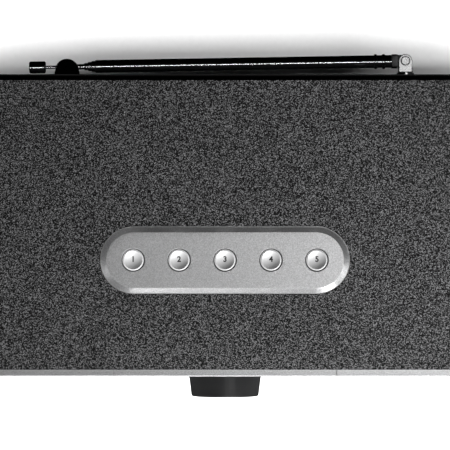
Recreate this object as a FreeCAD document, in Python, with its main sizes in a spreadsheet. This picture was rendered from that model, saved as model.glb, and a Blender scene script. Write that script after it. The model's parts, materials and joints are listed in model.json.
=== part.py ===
"""A tabletop radio with two speakers, five preset buttons on its top and a telescopic aerial on its back.

Millimetres. X runs to the listener's right, Y towards the back and Z up. The origin is on the tabletop,
under the middle of the wooden box. Every size is a cell of the spreadsheet Sizes.
"""

import FreeCAD
import Part
import math
import os
import re
import Sketcher

SIZES = {
    # wooden box, its vinyl covering and its feet
    "cabinet_width": 297.0,
    "cabinet_depth": 157.4,
    "cabinet_height": 108.0,
    "cabinet_corner": 4.0,
    "board": 9.0,
    "wrap": 0.4,
    "foot_height": 6.0,
    "foot_across": 20.0,
    "foot_inset": 20.0,
    "foot_bevel": 1.0,
    "slip": 0.2,
    # screws: a long one for the case and the feet, a short one for everything inside
    "case_shank": 3.0,
    "case_head": 5.8,
    "case_grip": 12.0,
    "head_height": 1.8,
    "small_shank": 2.4,
    "small_head": 4.6,
    "small_grip": 5.0,
    "shank_slip": 0.1,
    "recess_arm": 0.7,
    "recess_depth": 0.9,
    "pilot_room": 0.2,
    # front mouldings
    "fascia_thick": 3.8,
    "fascia_wall": 2.2,
    "fascia_round": 1.1,
    "seam": 0.3,
    "line_back": 1.3,
    "line_width": 0.6,
    "line_depth": 0.4,
    "centre_width": 121.6,
    "baffle_thick": 6.0,
    # speaker grilles
    "grille_open_width": 71.6,
    "grille_border": 8.0,
    "grille_corner": 7.0,
    "mesh_margin": 2.0,
    "mesh_thick": 0.8,
    "mesh_hole": 2.2,
    "mesh_pitch": 3.4,
    # display
    "lens_width": 76.0,
    "lens_height": 26.0,
    "lens_corner": 3.0,
    "lens_thick": 1.2,
    "lens_ledge": 2.5,
    "lens_drop": 30.0,
    "lcd_thick": 6.4,
    "lcd_frame": 2.4,
    "lcd_sink": 0.8,
    # circuit boards
    "pcb": 1.6,
    "front_pcb_width": 108.0,
    "front_pcb_height": 86.0,
    "window_width": 98.0,
    "window_height": 76.0,
    "switch_side": 6.0,
    "switch_height": 3.5,
    "switch_bore_depth": 2.4,
    "stem": 3.4,
    "stem_entry": 0.5,
    # front buttons
    "key_across": 9.2,
    "key_slip": 0.2,
    "key_proud": 1.2,
    "key_crown": 0.36,
    "key_lip": 1.2,
    "key_flange_thick": 0.8,
    "key_x": 42.0,
    "key_low": 30.0,
    "key_high": 54.0,
    "touch_gap": 0.05,
    # tuning knob and its encoder
    "knob_z": 42.0,
    "knob_base": 40.8,
    "knob_face": 37.8,
    "knob_height": 13.2,
    "knob_gap": 0.8,
    "knob_wall": 2.2,
    "knob_round": 1.2,
    "knob_hub": 11.0,
    "knob_hub_back": 2.8,
    "knob_dish": 45.0,
    "knob_dish_depth": 0.6,
    "mark_width": 1.4,
    "mark_length": 5.0,
    "mark_depth": 0.4,
    "shaft": 6.0,
    "shaft_slip": 0.05,
    "shaft_in_knob": 7.0,
    "spindle": 3.0,
    "encoder_side": 12.0,
    "encoder_height": 5.5,
    "bushing_wall": 0.5,
    "bushing_length": 6.2,
    "nut_flats": 10.0,
    "nut_thick": 2.0,
    "rotor_across": 8.4,
    "rotor_thick": 2.0,
    "encoder_floor": 1.0,
    "rotor_room": 0.8,
    "rotor_play": 0.2,
    "spindle_clear": 1.2,
    # preset panel
    "preset_y": -19.1,
    "plate_length": 135.6,
    "plate_width": 36.4,
    "plate_slope": 2.9,
    "plate_sink": 2.6,
    "plate_floor": 2.0,
    "plate_wall": 1.6,
    "plate_edge": 0.2,
    "plate_flange": 5.6,
    "plate_flange_thick": 2.0,
    "plate_lug_x": 50.0,
    "preset_pitch": 25.0,
    "preset_across": 11.6,
    "preset_slip": 0.5,
    "preset_hole_bevel": 0.3,
    "preset_rim": 0.2,
    "preset_crown": 1.4,
    "preset_hem": 0.3,
    "preset_lip": 1.4,
    "preset_flange_thick": 1.0,
    "preset_stem_drop": 2.0,
    "boss": 5.6,
    "boss_x": 37.5,
    "boss_y": 9.5,
    # speakers
    "speaker_across": 76.0,
    "baffle_hole": 64.0,
    "flange_thick": 1.4,
    "basket_depth": 24.0,
    "basket_wall": 1.2,
    "basket_floor": 38.0,
    "basket_hole": 26.0,
    "window_arc": 58.0,
    "surround_thick": 0.5,
    "roll_outer": 31.0,
    "roll_inner": 25.6,
    "rim_ledge": 3.0,
    "rim_slip": 0.1,
    "roll_ledge": 2.0,
    "cone_thick": 0.5,
    "coil": 16.0,
    "coil_wall": 0.5,
    "coil_gap": 0.3,
    "cone_depth": 12.0,
    "cap_ledge": 2.0,
    "cap_rise": 4.4,
    "cap_thick": 0.8,
    "spider_depth": 15.0,
    "spider_wave": 0.5,
    "spider_thick": 0.6,
    "spider_inset": 0.6,
    "magnet_across": 46.0,
    "magnet_thick": 9.0,
    "pole_thick": 3.0,
    "pole_across": 40.0,
    "magnet_bore": 3.0,
    "gap_width": 1.6,
    "speaker_lug": 35.6,
    # rear cover, bass port and sockets
    "rear_thick": 3.3,
    "rear_inset": 0.4,
    "rear_round": 1.1,
    "rib_height": 4.0,
    "rib_thick": 2.0,
    "port_x": -88.0,
    "port_z": 54.0,
    "port_bore": 30.0,
    "port_wall": 2.0,
    "port_length": 62.0,
    "port_flange": 44.0,
    "port_flange_thick": 1.8,
    "port_flare": 2.0,
    "socket_field_width": 76.0,
    "socket_field_height": 22.0,
    "socket_field_depth": 0.8,
    "socket_field_x": 8.0,
    "dc_x": 34.0,
    "aux_x": 8.0,
    "phones_x": -18.0,
    "jack_rise": 6.0,
    "jack_nose": 8.0,
    "jack_side": 10.0,
    "jack_body": 13.0,
    "audio_bore": 3.6,
    "audio_depth": 14.0,
    "dc_bore": 5.6,
    "dc_depth": 9.0,
    "dc_pin": 2.0,
    "dc_pin_length": 7.0,
    "main_pcb_width": 104.0,
    "main_pcb_depth": 70.0,
    "main_pcb_gap": 1.0,
    "spacer": 6.0,
    "spacer_across": 6.0,
    "lug_inset": 4.0,
    # cables inside
    "ribbon_width": 18.0,
    "ribbon_thick": 0.8,
    "wire": 2.0,
    "wire_slip": 0.02,
    # aerial
    "aerial_x": 98.6,
    "aerial_drop": 14.0,
    "aerial_back": 7.7,
    "aerial_tilt": 0.98,
    "bush_flange": 9.4,
    "bush_flange_thick": 1.3,
    "bush_across": 7.6,
    "bush_tail": 4.0,
    "swivel_shaft": 5.0,
    "swivel_tail": 3.0,
    "swivel_gap": 0.1,
    "swivel_width": 7.6,
    "swivel_height": 8.0,
    "swivel_bevel": 0.5,
    "tongue": 3.0,
    "tongue_slip": 0.1,
    "tongue_round": 3.4,
    "pin": 2.4,
    "pin_head": 5.2,
    "pin_head_thick": 1.1,
    "pin_foot": 3.8,
    "pin_foot_thick": 0.7,
    "pin_recess": 3.3,
    "pin_recess_width": 0.85,
    "pin_recess_depth": 0.75,
    "collar_start": 4.2,
    "collar_length": 3.2,
    "collar_side": 7.5,
    "collar_bevel": 0.8,
    "tube_across": 7.0,
    "tube_step": 1.0,
    "tube_wall": 0.3,
    "tube_end": 169.6,
    "tube_bevel": 0.3,
    "mouth": 0.8,
    "mouth_slip": 0.05,
    "plug_end": 12.5,
    "base_start": 13.0,
    "base_ring": 8.0,
    "bead": 0.6,
    "bead_width": 1.8,
    "bead_first": 11.8,
    "bead_pitch": 4.4,
    "tube_show": 2.03,
    "last_show": 7.3,
    "rod": 1.8,
    "cap_start": 196.8,
    "cap_length": 9.0,
    "cap_across": 6.6,
    "cap_bevel": 0.6,
    # aerial clip
    "clip_x": -86.4,
    "clip_shoulder": 11.6,
    "clip_shoulder_reach": 5.3,
    "clip_reach": 8.8,
    "clip_height": 7.4,
    "clip_slip": 0.25,
    "clip_grip": 0.5,
    "clip_foot": 13.5,
    "clip_foot_thick": 1.2,
    "clip_peg": 3.0,
    "clip_flare": 0.35,
}

# Named places, as formulas of the cells above.
FRONT = "(-cabinet_depth / 2)"
BACK = "(cabinet_depth / 2)"
FACE = "(-cabinet_depth / 2 - fascia_thick)"
INNER_FACE = "(-cabinet_depth / 2 - fascia_thick + fascia_wall)"
BAFFLE_BACK = "(-cabinet_depth / 2 + baffle_thick)"
REAR = "(cabinet_depth / 2 + rear_thick)"
TOP = "(foot_height + cabinet_height)"
MIDDLE = "(foot_height + cabinet_height / 2)"
CEILING = "(foot_height + cabinet_height - wrap - board)"
INNER_FLOOR = "(foot_height + wrap + board)"
ROOM_WIDTH = "(cabinet_width - 2 * wrap - 2 * board)"
ROOM_HEIGHT = "(cabinet_height - 2 * wrap - 2 * board)"
SPEAKER_X = "((centre_width / 2 + cabinet_width / 2 - wrap - board) / 2)"
SIDE_X = "((centre_width + cabinet_width) / 4)"
PLATE_TOP = f"({TOP} - plate_sink)"
PLATE_UNDER = f"({TOP} - plate_sink - plate_floor)"
SWITCH_TOP = f"({PLATE_UNDER} - touch_gap - preset_flange_thick - preset_stem_drop)"
PRESET_PCB_TOP = f"({SWITCH_TOP} - switch_height)"
KEY_SWITCH_TOP = f"({BAFFLE_BACK} - switch_height)"
MAIN_PCB_Z = f"({INNER_FLOOR} + spacer)"
JACK_Z = f"({MAIN_PCB_Z} + pcb + jack_rise)"
MAIN_PCB_BACK = f"({BACK} - rib_height - main_pcb_gap)"
HINGE_Y = f"({REAR} + aerial_back)"
AERIAL_Z = f"({TOP} - aerial_drop)"
LENS_Z = f"({TOP} - lens_drop)"
GRILLE_HEIGHT = "(cabinet_height - 2 * grille_border)"
BUSHING = "(shaft + 2 * bushing_wall)"
PRESET_HOLE = "(preset_across + 2 * preset_slip)"

doc = FreeCAD.newDocument("TabletopRadio")
sheet = doc.addObject("Spreadsheet::Sheet", "Sizes")
made = []


def fill_sheet():
    for row, (alias, size) in enumerate(SIZES.items(), 1):
        sheet.set(f"A{row}", alias)
        sheet.set(f"B{row}", str(size))
        sheet.setAlias(f"B{row}", alias)
    doc.recompute()


# ---------------------------------------------------------------- formulas


def full(formula):
    """The formula with each cell's alias written the way an expression names it."""
    return re.sub(r"[a-z_][a-z_0-9]*", lambda m: "Sizes." + m[0] if m[0] in SIZES else m[0], str(formula))


def size(formula):
    return float(sheet.evalExpression(full(formula)))


def bind(target, prop, formula):
    target.setExpression(prop, full(formula))


# ---------------------------------------------------------------- bodies and sketches


def new_body(label, x="0", y="0", z="0", axis=(0, 0, 1), turn="0", kept=True):
    body = doc.addObject("PartDesign::Body", label)
    body.Label = label
    body.Placement = FreeCAD.Placement(FreeCAD.Vector(), FreeCAD.Rotation(FreeCAD.Vector(*axis), size(turn)))
    for name, formula in zip("xyz", (x, y, z)):
        bind(body, f"Placement.Base.{name}", formula)
    if turn != "0":
        bind(body, "Placement.Rotation.Angle", turn)
    if kept:
        made.append(body)
    return body


def sketch_on(body, plane, at="0"):
    """A sketch on one of the body's origin planes, moved to that place on the axis it faces.

    XY faces up and XZ faces the front, with x to the right in both. YZ faces the right, with x to the back.
    """
    drawn = body.newObject("Sketcher::SketchObject", "Sketch")
    origin = next(o for o in body.Origin.OriginFeatures if o.Role == plane + "_Plane")
    drawn.AttachmentSupport = [(origin, "")]
    drawn.MapMode = "FlatFace"
    bind(drawn, "AttachmentOffset.Base.z", f"-({at})" if plane == "XZ" else at)
    return drawn


def hold(drawn, kind, formula, *where):
    """Adds a dimension to a sketch and ties it to a formula."""
    index = drawn.addConstraint(Sketcher.Constraint(kind, *where, size(formula)))
    bind(drawn, f"Constraints[{index}]", formula)


def hold_point(drawn, geometry, point, x, y):
    hold(drawn, "DistanceX", x, -1, 1, geometry, point)
    hold(drawn, "DistanceY", y, -1, 1, geometry, point)


def circle(drawn, x, y, across):
    centre = FreeCAD.Vector(size(x), size(y), 0)
    added = drawn.addGeometry(Part.Circle(centre, FreeCAD.Vector(0, 0, 1), size(across) / 2))
    hold_point(drawn, added, 3, x, y)
    hold(drawn, "Diameter", across, added)


def outline(drawn, corners, arcs=None):
    """A closed outline through corners. arcs gives, for a stretch's index, its radius and which side bulges:
    1 bulges to the right of the way the outline runs, -1 to the left."""
    arcs = arcs or {}
    points = [FreeCAD.Vector(size(x), size(y), 0) for x, y in corners]
    ends = []
    for i, start in enumerate(points):
        finish = points[(i + 1) % len(points)]
        if i in arcs:
            radius, side = size(arcs[i][0]), arcs[i][1]
            chord = finish - start
            lift = math.sqrt(max(radius**2 - (chord.Length / 2) ** 2, 0))
            left = FreeCAD.Vector(-chord.y, chord.x, 0).normalize()
            centre = (start + finish) * 0.5 + left * lift * side
            angles = [math.atan2(p.y - centre.y, p.x - centre.x) for p in (start, finish)]
            round_edge = Part.Circle(centre, FreeCAD.Vector(0, 0, 1), radius)
            ordered = angles if side > 0 else angles[::-1]
            added = drawn.addGeometry(Part.ArcOfCircle(round_edge, *ordered))
            ends.append((added, 1, 2) if side > 0 else (added, 2, 1))
        else:
            ends.append((drawn.addGeometry(Part.LineSegment(start, finish)), 1, 2))
    for i, (added, first, last) in enumerate(ends):
        following = ends[(i + 1) % len(ends)]
        drawn.addConstraint(Sketcher.Constraint("Coincident", added, last, following[0], following[1]))
        hold_point(drawn, added, first, *corners[i])
    for i, (radius, _) in arcs.items():
        chord = points[(i + 1) % len(points)] - points[i]
        if abs(2 * size(radius) - chord.Length) > 1e-6:
            hold(drawn, "Radius", radius, ends[i][0])
        elif abs(chord.x) < abs(chord.y):
            hold(drawn, "DistanceX", corners[i][0], -1, 1, ends[i][0], 3)
        else:
            hold(drawn, "DistanceY", corners[i][1], -1, 1, ends[i][0], 3)


def rectangle(drawn, x, y, width, height):
    outline(drawn, [(f"{x} + {i} * ({width}) / 2", f"{y} + {j} * ({height}) / 2")
                    for i, j in ((-1, -1), (1, -1), (1, 1), (-1, 1))])


def rounded(drawn, x, y, width, height, radius):
    """A rectangle with round corners, or a pill where the radius is half its height."""
    corners, arcs = [], {}
    for i, j in ((1, -1), (1, 1), (-1, 1), (-1, -1)):
        far = (f"{x} + {i} * ({width}) / 2", f"{y} + {j} * (({height}) / 2 - {radius})")
        near = (f"{x} + {i} * (({width}) / 2 - {radius})", f"{y} + {j} * ({height}) / 2")
        arcs[len(corners)] = (radius, 1)
        corners += [near, far] if i * j < 0 else [far, near]
    outline(drawn, corners, arcs)


def pill(drawn, x, y, length, width):
    ends = [(f"{x} + {i} * (({length}) - ({width})) / 2", f"{y} + {j} * ({width}) / 2")
            for i, j in ((1, -1), (1, 1), (-1, 1), (-1, -1))]
    outline(drawn, ends, {0: (f"({width}) / 2", 1), 2: (f"({width}) / 2", 1)})


# ---------------------------------------------------------------- features


def check(feature):
    doc.recompute()
    if "Invalid" in feature.State or "Error" in feature.State or feature.Shape.isNull():
        raise RuntimeError(f"{feature.Label}: {feature.State}")
    return feature


def pad(body, drawn, length, back=False, taper=None):
    """Adds material from the sketch the way it faces, or behind it."""
    feature = body.newObject("PartDesign::Pad", "Pad")
    feature.Profile = drawn
    bind(feature, "Length", length)
    feature.Reversed = back
    if taper:
        bind(feature, "TaperAngle", taper)
    return check(feature)


def pocket(body, drawn, length, ahead=False):
    """Cuts behind the sketch, or ahead of it, and makes sure that something was cut."""
    before = body.Shape.Volume
    feature = body.newObject("PartDesign::Pocket", "Pocket")
    feature.Profile = drawn
    bind(feature, "Length", length)
    feature.Reversed = ahead
    check(feature)
    if body.Shape.Volume > before - 0.001:
        raise RuntimeError(f"a pocket of {body.Label} cuts nothing")
    return feature


def revolve(body, drawn, axis, cut=False):
    kind = "Groove" if cut else "Revolution"
    feature = body.newObject("PartDesign::" + kind, kind)
    feature.Profile = drawn
    feature.ReferenceAxis = (drawn, [axis])
    feature.Angle = 360
    return check(feature)


def dress(body, kind, prop, formula, rule):
    """A fillet or a chamfer on those edges of the body's last feature that keep to a rule."""
    last = body.Tip
    chosen = [f"Edge{i}" for i, edge in enumerate(last.Shape.Edges, 1) if rule(edge)]
    if not chosen:
        raise RuntimeError(f"a {kind} of {body.Label} finds no edge")
    feature = body.newObject("PartDesign::" + kind, kind)
    feature.Base = (last, chosen)
    bind(feature, prop, formula)
    return check(feature)


def fillet(body, radius, rule):
    return dress(body, "Fillet", "Radius", radius, rule)


def chamfer(body, width, rule):
    return dress(body, "Chamfer", "Size", width, rule)


def on_plane(edge, axis, at):
    """Whether every point of an edge lies at that place on an axis, x, y or z."""
    place = size(at)
    spots = [edge.valueAt(edge.FirstParameter + k * (edge.LastParameter - edge.FirstParameter) / 4)
             for k in range(5)]
    return all(abs(getattr(p, axis) - place) < 1e-4 for p in spots)


def is_round(edge, across):
    """Whether an edge is an arc or a circle of that diameter."""
    return hasattr(edge.Curve, "Radius") and abs(edge.Curve.Radius - size(across) / 2) < 1e-3


def cells(columns, rows):
    """Every pairing of the places across with the places up."""
    return [(x, y) for x in columns for y in rows]


# ---------------------------------------------------------------- screws


def screw(label, shank, head, length, sunk=False):
    """One screw along Z with a cross recess. Its shank starts at z = 0 and runs down.

    A sunk head is a cone below z = 0. A pan head stands on it.
    """
    body = new_body(label, kept=False)
    top = "0" if sunk else "head_height"
    thread = sketch_on(body, "XY")
    circle(thread, "0", "0", shank)
    pad(body, thread, length, back=True)
    cap = sketch_on(body, "XY", top)
    circle(cap, "0", "0", head)
    if sunk:
        pad(body, cap, f"({head} - {shank}) / 2", back=True, taper="-45")
    else:
        pad(body, cap, "head_height", back=True)
        chamfer(body, "head_height / 3", lambda edge: on_plane(edge, "z", top))
    cross = sketch_on(body, "XY", top)
    arm, reach = "recess_arm / 2", f"{head} * 0.3"
    quarter = [(reach, arm), (arm, arm), (arm, reach)]
    corners = quarter + [(f"-({x})", y) for x, y in quarter[::-1]]
    corners += [(f"-({x})", f"-({y})") for x, y in quarter] + [(x, f"-({y})") for x, y in quarter[::-1]]
    outline(cross, corners)
    pocket(body, cross, "recess_depth")
    return body


def group(label, members):
    """One object of several copies. Each member is a body, its place and the way its head points."""
    turns = {"up": 0, "down": 180, "back": -90}
    links = []
    for body, (x, y, z), way in members:
        link = doc.addObject("App::Link", f"{label}_{len(links) + 1}")
        link.LinkedObject = body
        link.LinkTransform = True
        turned = FreeCAD.Rotation(FreeCAD.Vector(1, 0, 0), turns[way])
        link.Placement = FreeCAD.Placement(FreeCAD.Vector(), turned)
        for name, formula in zip("xyz", (x, y, z)):
            bind(link, f"Placement.Base.{name}", formula)
        links.append(link)
    whole = doc.addObject("Part::Compound", label)
    whole.Label = label
    whole.Links = links
    made.append(whole)


def all_screws():
    case = screw("case_screw", "case_shank", "case_head", "rear_thick + case_grip - 1", sunk=True)
    foot = screw("foot_screw", "case_shank", "case_head", "foot_height / 2 + wrap + board - 2")
    short = screw("short_screw", "small_shank", "small_head", "small_grip")
    long = screw("long_screw", "small_shank", "small_head", "pcb + spacer + small_grip - 1")
    group("case_screws", [(case, (x, REAR, z), "back") for x, z in REAR_SCREWS])
    group("foot_screws", [(foot, (x, y, "foot_height / 2"), "down") for x, y in FEET])
    drivers = [(short, (x, f"{BAFFLE_BACK} + flange_thick", z), "back") for x, z in speaker_lugs()]
    group("speaker_screws", drivers)
    boards = [(long, (x, y, f"{MAIN_PCB_Z} + pcb"), "up") for x, y in MAIN_LUGS]
    boards += [(short, (x, f"{BAFFLE_BACK} + pcb", z), "back") for x, z in FRONT_LUGS]
    boards += [(short, (x, y, f"{PRESET_PCB_TOP} - pcb"), "down") for x, y in PRESET_LUGS]
    boards += [(short, (x, y, f"{CEILING} - plate_flange_thick"), "down") for x, y in PLATE_LUGS]
    group("board_screws", boards)


def drill(body, plane, at, places, across, depth, ahead=False):
    drawn = sketch_on(body, plane, at)
    for x, y in places:
        circle(drawn, x, y, across)
    return pocket(body, drawn, depth, ahead)


# ---------------------------------------------------------------- places that several pieces share

SIDE_SCREW_X = "(cabinet_width / 2 - wrap - board / 2)"
EDGE_SCREW_X = "(cabinet_width / 4)"
REAR_SCREWS = cells([f"-{SIDE_SCREW_X}", SIDE_SCREW_X],
                    [f"{MIDDLE} - cabinet_height / 3", f"{MIDDLE} + cabinet_height / 3"])
REAR_SCREWS += cells([f"-{EDGE_SCREW_X}", EDGE_SCREW_X],
                     ["foot_height + wrap + board / 2", f"{TOP} - wrap - board / 2"])
FOOT_X, FOOT_Y = "(cabinet_width / 2 - foot_inset)", "(cabinet_depth / 2 - foot_inset)"
FEET = cells([f"-{FOOT_X}", FOOT_X], [f"-{FOOT_Y}", FOOT_Y])
FRONT_LUG_X = "((window_width + front_pcb_width) / 4)"
FRONT_LUG_Z = "(front_pcb_height / 2 - 2 * lug_inset)"
FRONT_LUGS = cells([f"-{FRONT_LUG_X}", FRONT_LUG_X],
                   [f"{MIDDLE} - {FRONT_LUG_Z}", f"{MIDDLE} + {FRONT_LUG_Z}"])
PRESET_LUGS = cells(["-boss_x", "boss_x"], ["preset_y - boss_y", "preset_y + boss_y"])
PLATE_LUG_Y = "((plate_width + plate_flange) / 2 + slip)"
PLATE_LUGS = cells(["-plate_lug_x", "plate_lug_x"],
                   [f"preset_y - {PLATE_LUG_Y}", f"preset_y + {PLATE_LUG_Y}"])
MAIN_LUG_X = "(main_pcb_width / 2 - lug_inset)"
MAIN_LUGS = cells([f"-{MAIN_LUG_X}", MAIN_LUG_X],
                  [f"{MAIN_PCB_BACK} - main_pcb_depth + lug_inset", f"{MAIN_PCB_BACK} - 4 * lug_inset"])
KEYS = {
    "power_button": ("-key_x", "key_high"),
    "source_button": ("-key_x", "key_low"),
    "menu_button": ("key_x", "key_high"),
    "back_button": ("key_x", "key_low"),
}
PRESETS = [f"{i} * preset_pitch" for i in (-2, -1, 0, 1, 2)]
SIDES = {"left": -1, "right": 1}


# ---------------------------------------------------------------- wooden box

BOX = ("cabinet_width - 2 * wrap", "cabinet_height - 2 * wrap", "(cabinet_corner - wrap)")


def preset_opening(body):
    opening = sketch_on(body, "XY", TOP)
    pill(opening, "0", "preset_y", "plate_length + 2 * slip", "plate_width + 2 * slip")
    pocket(body, opening, "wrap + board + slip")


def cabinet_box():
    body = new_body("cabinet_box")
    drawn = sketch_on(body, "XZ", BACK)
    rounded(drawn, "0", MIDDLE, *BOX)
    rectangle(drawn, "0", MIDDLE, ROOM_WIDTH, ROOM_HEIGHT)
    pad(body, drawn, "cabinet_depth")
    preset_opening(body)
    drill(body, "XZ", BACK, REAR_SCREWS, "case_shank + shank_slip", "case_grip", ahead=True)
    drill(body, "XY", "foot_height", FEET, "case_shank + shank_slip", "wrap + board - 1", ahead=True)
    drill(body, "XY", CEILING, PLATE_LUGS, "small_shank + shank_slip", "small_grip", ahead=True)
    drill(body, "XY", INNER_FLOOR, MAIN_LUGS, "small_shank + shank_slip", "small_grip")


def vinyl_wrap():
    body = new_body("vinyl_wrap")
    drawn = sketch_on(body, "XZ", BACK)
    rounded(drawn, "0", MIDDLE, "cabinet_width", "cabinet_height", "cabinet_corner")
    rounded(drawn, "0", MIDDLE, *BOX)
    pad(body, drawn, "cabinet_depth")
    preset_opening(body)
    drill(body, "XY", "foot_height", FEET, "case_shank + shank_slip", "wrap", ahead=True)


def rubber_feet():
    body = new_body("rubber_feet")
    drawn = sketch_on(body, "XY")
    for x, y in FEET:
        circle(drawn, x, y, "foot_across")
    pad(body, drawn, "foot_height")
    chamfer(body, "foot_bevel", lambda edge: on_plane(edge, "z", "0"))
    drill(body, "XY", "0", FEET, "case_head + 1", "foot_height / 2", ahead=True)
    drill(body, "XY", "0", FEET, "case_shank + shank_slip", "foot_height + 1", ahead=True)


def front_baffle():
    body = new_body("front_baffle")
    drawn = sketch_on(body, "XZ", BAFFLE_BACK)
    rectangle(drawn, "0", MIDDLE, f"{ROOM_WIDTH} - 2 * slip", f"{ROOM_HEIGHT} - 2 * slip")
    rectangle(drawn, "0", MIDDLE, "window_width", "window_height")
    for sign in SIDES.values():
        circle(drawn, f"{sign} * {SPEAKER_X}", MIDDLE, "baffle_hole")
    pad(body, drawn, "baffle_thick")
    pilot = "small_shank + shank_slip"
    drill(body, "XZ", BAFFLE_BACK, FRONT_LUGS, pilot, "small_grip - pcb + pilot_room", ahead=True)
    depth = "small_grip - flange_thick + pilot_room"
    drill(body, "XZ", BAFFLE_BACK, speaker_lugs(), pilot, depth, ahead=True)


# ---------------------------------------------------------------- front mouldings


def moulding_layers(body, draw):
    """Three layers from the box forwards. The middle one is set in and leaves a fine line round the edge."""
    layers = [("0", "line_back", "0"), ("line_back", "line_width", "line_depth"),
              ("line_back + line_width", "fascia_thick - line_back - line_width", "0")]
    for start, thick, inset in layers:
        drawn = sketch_on(body, "XZ", f"{FRONT} - ({start})")
        draw(drawn, inset)
        pad(body, drawn, thick)


def centre_panel():
    body = new_body("centre_panel")
    moulding_layers(body, lambda drawn, inset: rectangle(drawn, "0", MIDDLE, "centre_width - seam",
                                                         f"cabinet_height - 2 * ({inset})"))
    for level in (TOP, "foot_height"):
        fillet(body, "fascia_round", lambda edge: on_plane(edge, "y", FACE) and on_plane(edge, "z", level))
    hollow = sketch_on(body, "XZ", FRONT)
    rectangle(hollow, "0", MIDDLE, "window_width", "window_height")
    pocket(body, hollow, "fascia_thick - fascia_wall", ahead=True)
    recess = sketch_on(body, "XZ", FACE)
    rounded(recess, "0", LENS_Z, "lens_width", "lens_height", "lens_corner")
    pocket(body, recess, "lens_thick")
    window = sketch_on(body, "XZ", FACE)
    rounded(window, "0", LENS_Z, "lens_width - 2 * lens_ledge", "lens_height - 2 * lens_ledge", "1")
    pocket(body, window, "fascia_wall + 1")
    drill(body, "XZ", FACE, [("0", "knob_z")], "knob_dish", "knob_dish_depth")
    drill(body, "XZ", FACE, [("0", "knob_z")], f"{BUSHING} + 2 * slip", "fascia_wall + 1")
    drill(body, "XZ", FACE, list(KEYS.values()), "key_across + 2 * key_slip", "fascia_wall + 1")


def side_outline(drawn, sign, inset):
    """One side moulding: square where it meets the centre panel and round at the cabinet's corners."""
    seam = f"{sign} * (centre_width / 2 + seam / 2)"
    outer = f"(cabinet_width / 2 - ({inset}))"
    low, high = f"foot_height + ({inset})", f"{TOP} - ({inset})"
    corner = f"(cabinet_corner - ({inset}))"
    edge, bend = f"{sign} * {outer}", f"{sign} * ({outer} - {corner})"
    corners = [(seam, low), (bend, low), (edge, f"{low} + {corner}"), (edge, f"{high} - {corner}"),
               (bend, high), (seam, high)]
    outline(drawn, corners, {1: (corner, sign), 3: (corner, sign)})


def grille_frame(name, sign):
    body = new_body("grille_frame_" + name)
    moulding_layers(body, lambda drawn, inset: side_outline(drawn, sign, inset))
    seam = f"{sign} * (centre_width / 2 + seam / 2)"
    fillet(body, "fascia_round", lambda edge: on_plane(edge, "y", FACE) and not on_plane(edge, "x", seam))
    opening = sketch_on(body, "XZ", FACE)
    rounded(opening, f"{sign} * {SIDE_X}", MIDDLE, "grille_open_width", GRILLE_HEIGHT, "grille_corner")
    pocket(body, opening, "fascia_thick + 1")
    chamfer(body, "fascia_wall / 3", lambda edge: on_plane(edge, "y", FACE) and in_opening(edge, sign))
    rebate = sketch_on(body, "XZ", INNER_FACE)
    rounded(rebate, f"{sign} * {SIDE_X}", MIDDLE, "grille_open_width + 2 * mesh_margin",
            f"{GRILLE_HEIGHT} + 2 * mesh_margin", "(grille_corner + mesh_margin)")
    pocket(body, rebate, "fascia_thick")


def in_opening(edge, sign):
    centre = edge.BoundBox.Center
    return (abs(centre.x - sign * size(SIDE_X)) < size("grille_open_width") / 2 + 0.1
            and abs(centre.z - size(MIDDLE)) < size(GRILLE_HEIGHT) / 2 + 0.1)


def grille_mesh(name, sign):
    """A perforated steel plate, its holes in staggered rows."""
    margin = size("mesh_margin - slip")
    width, height = size("grille_open_width") + 2 * margin, size(GRILLE_HEIGHT) + 2 * margin
    corner, pitch, radius = size("grille_corner") + margin, size("mesh_pitch"), size("mesh_hole") / 2
    half_width, half_height = size("grille_open_width") / 2 - radius, size(GRILLE_HEIGHT) / 2 - radius
    plate = Part.makePlane(width, height, FreeCAD.Vector(-width / 2, -height / 2, 0))
    plate = plate.extrude(FreeCAD.Vector(0, 0, size("mesh_thick")))
    plate = plate.makeFillet(corner, [e for e in plate.Edges if abs(e.Vertexes[0].Z - e.Vertexes[1].Z) > 0.1])
    back = min(plate.Faces, key=lambda face: face.CenterOfMass.z)
    holes = []
    row_pitch = pitch * math.sqrt(3) / 2
    rows, columns = int(half_height / row_pitch), int(half_width / pitch) + 1
    round_corner = size("grille_corner") - radius
    for row in range(-rows, rows + 1):
        for column in range(-columns, columns + 1):
            x, y = (column + (row % 2) / 2) * pitch, row * row_pitch
            over_x, over_y = abs(x) - (half_width - round_corner), abs(y) - (half_height - round_corner)
            past_corner = over_x > 0 and over_y > 0 and math.hypot(over_x, over_y) > round_corner
            if past_corner or abs(x) > half_width:
                continue
            rim = Part.Circle(FreeCAD.Vector(x, y, 0), FreeCAD.Vector(0, 0, -1), radius)
            holes.append(Part.Wire(rim.toShape()))
    sheet_face = Part.Face([back.OuterWire, *holes])
    mesh = sheet_face.extrude(FreeCAD.Vector(0, 0, size("mesh_thick")))
    place = FreeCAD.Vector(sign * size(SIDE_X), size(INNER_FACE) + size("mesh_thick"), size(MIDDLE))
    mesh.Placement = FreeCAD.Placement(place, FreeCAD.Rotation(FreeCAD.Vector(1, 0, 0), 90))
    shape_node("grille_mesh_" + name, mesh)


# ---------------------------------------------------------------- display and front circuit board


def display_lens():
    body = new_body("display_lens")
    drawn = sketch_on(body, "XZ", f"{FACE} + lens_thick")
    rounded(drawn, "0", LENS_Z, "lens_width - 2 * slip", "lens_height - 2 * slip", "(lens_corner - slip)")
    pad(body, drawn, "lens_thick")


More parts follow.
